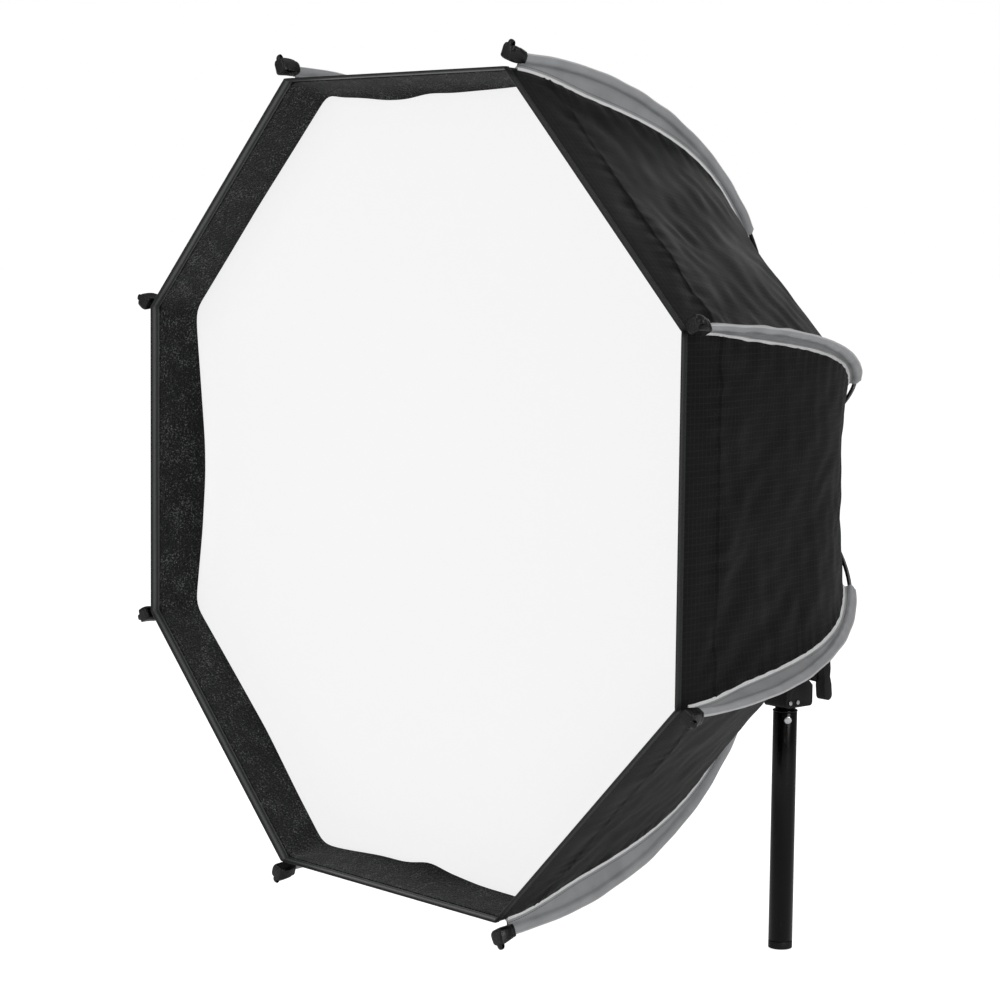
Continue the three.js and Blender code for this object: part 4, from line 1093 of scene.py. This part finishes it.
refined("hub_plate", "hub", 0.5 * MM, 40, 2)
refined("hub_cover", "hub", 0.5 * MM, 40, 2)

turns = np.arange(RIBS * 12) * 2 * math.pi / (RIBS * 12)
wire_radius = softened(HINGE_RADIUS / np.cos(turns % STEP - HALF), 1)
wire_path = np.stack(
    [wire_radius * np.cos(turns), np.full(len(turns), HINGE_DEPTH), wire_radius * np.sin(turns)], -1
)
wire = loft(
    "hinge_wire_loop", tube(to_row(wire_path), 1.45 * MM, 12, closed=True), ["wire"], "head",
    closed=True,
)
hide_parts("hinge_wire")

for node, look, slot, bevel in (
    ("tilt_arm", "bracket", "tube_paint", 0.8), ("flash_rail", "bracket", "tube_paint", 0.6),
    ("rail_bolt", "bright", "bright_metal", 0.5), ("rail_wing_nut", "bright", "bright_metal", 0.8),
    ("hub_screw_1", "bright", "bright_metal", 0.5), ("hub_screw_2", "bright", "bright_metal", 0.5),
    ("shoe_carriage", "bracket", "block_paint", 0.7), ("cold_shoe", "bright", "bright_metal", 0.25),
    ("shoe_knob", "knob", "knob_plastic", 0.7), ("stand_lock_knob", "knob", "knob_plastic", 0.7),
    ("tilt_handle", "knob", "knob_plastic", 1.4), ("tilt_screw", "bright", "bright_metal", 0.6),
    ("tilt_nut", "bright", "bright_metal", 0.4), ("tilt_washer", "bright", "bright_metal", 0.3),
    ("swivel_block", "bracket", "block_paint", 0.9),
    ("block_screw_1", "bright", "bright_metal", 0.35),
    ("block_screw_2", "bright", "bright_metal", 0.35), ("spigot", "bright", "bright_metal", 0.5),
    ("spigot_rivet", "bright", "bright_metal", 0.7), ("tube_foot_plug", "hub", "plug_plastic", 0.7),
):
    refined(node, look, bevel * MM)

# -------------------------------- stand tube

low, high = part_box("stand_tube")
bore = TUBE_RADIUS - 1.5 * MM
lip = 0.6 * MM
tube_profile = [
    (bore, low.z), (TUBE_RADIUS - 0.3 * MM, low.z), (TUBE_RADIUS, low.z + 0.3 * MM),
    (TUBE_RADIUS, high.z - lip), (TUBE_RADIUS - 0.15 * MM, high.z - lip / 3),
    (TUBE_RADIUS - lip, high.z), (bore, high.z),
]  # fmt: skip
stand = loft("stand_tube_turned", revolve(tube_profile), ["tube"], "stand", closed=True)
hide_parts("stand_tube")

low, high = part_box("tube_top_ring")
ring_out = (high.x - low.x) / 2
neck = 10.5 * MM
inner = 8.3 * MM
ring_top = low.z + 2 * MM
ring_profile = [
    (inner, low.z), (ring_out - 0.4 * MM, low.z), (ring_out, low.z + 0.4 * MM),
    (ring_out, ring_top - 0.5 * MM), (ring_out - 0.5 * MM, ring_top), (neck + 0.6 * MM, ring_top),
    (neck, ring_top + 0.6 * MM), (neck, high.z - 0.4 * MM), (neck - 0.4 * MM, high.z),
    (inner, high.z),
]  # fmt: skip
ring = loft("tube_top_collar", revolve(ring_profile), ["tube"], "stand", closed=True)
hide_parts("tube_top_ring")

# -------------------------------- floor and light


FLOOR_HALF = 40
FLOOR_SEEN, FLOOR_CAST = 0.95, 0.1  # the floor's glow to the camera, and on the object
WORLD_SEEN, WORLD_CAST = 1.0, 0.14
# Name, place, target, size and watts.
LIGHTS = (
    ("front_light", (-0.9, -3.2, 1.9), (0, -0.5, 0.5), (2.2, 2.2), 20),
    ("side_light", (3.4, -0.6, 1.7), (0.2, -0.3, 0.45), (1.4, 2.2), 44),
    ("top_light", (0.6, 0.2, 3.4), (0, -0.3, 0.5), (2.4, 2.4), 13),
    ("rear_light", (-1.6, 2.8, 2.2), (0, -0.2, 0.5), (1.8, 1.8), 9),
)


def make_stage():
    size = FLOOR_HALF
    mesh = bpy.data.meshes.new("floor")
    mesh.from_pydata(
        [(-size, -size, 0), (size, -size, 0), (size, size, 0), (-size, size, 0)], [], [(0, 1, 2, 3)]
    )
    s = Shader("pale_floor")
    grain = s.noise(s.object_place(), 3, 2)
    seen = s.node("LightPath").outputs["Is Camera Ray"]
    s.set(
        Base_Color=s.mix(grain, (0.86, 0.86, 0.86), (0.88, 0.88, 0.88)), Roughness=0.9,
        Specular_IOR_Level=0.1, Emission_Color=(1, 1, 1, 1),
        Emission_Strength=s.ramp(seen, 0, 1, FLOOR_CAST, FLOOR_SEEN),
    )
    mesh.materials.append(s.material)
    floor = bpy.data.objects.new("floor", mesh)
    floor.location.z = -1 * MM
    bpy.context.scene.collection.objects.link(floor)


def make_world():
    world = bpy.data.worlds.new("studio")
    world.use_nodes = True
    tree = world.node_tree
    tree.nodes.clear()
    output = tree.nodes.new("ShaderNodeOutputWorld")
    seen = tree.nodes.new("ShaderNodeBackground")
    cast = tree.nodes.new("ShaderNodeBackground")
    seen.inputs["Color"].default_value = (1, 1, 1, 1)
    seen.inputs["Strength"].default_value = WORLD_SEEN
    cast.inputs["Color"].default_value = (1, 1, 1, 1)
    cast.inputs["Strength"].default_value = WORLD_CAST
    path = tree.nodes.new("ShaderNodeLightPath")
    choose = tree.nodes.new("ShaderNodeMixShader")
    tree.links.new(path.outputs["Is Camera Ray"], choose.inputs[0])
    tree.links.new(cast.outputs[0], choose.inputs[1])
    tree.links.new(seen.outputs[0], choose.inputs[2])
    tree.links.new(choose.outputs[0], output.inputs[0])
    bpy.context.scene.world = world


def make_light(name, place, target, size, power):
    data = bpy.data.lights.new(name, "AREA")
    data.shape = "RECTANGLE"
    data.size, data.size_y = size
    data.energy = power
    light = bpy.data.objects.new(name, data)
    light.location = place
    light.rotation_euler = (Vector(target) - Vector(place)).to_track_quat("-Z", "Y").to_euler()
    bpy.context.scene.collection.objects.link(light)


make_stage()
make_world()
for light in LIGHTS:
    make_light(*light)
bpy.context.scene.view_settings.view_transform = "Standard"

bpy.context.view_layer.update()
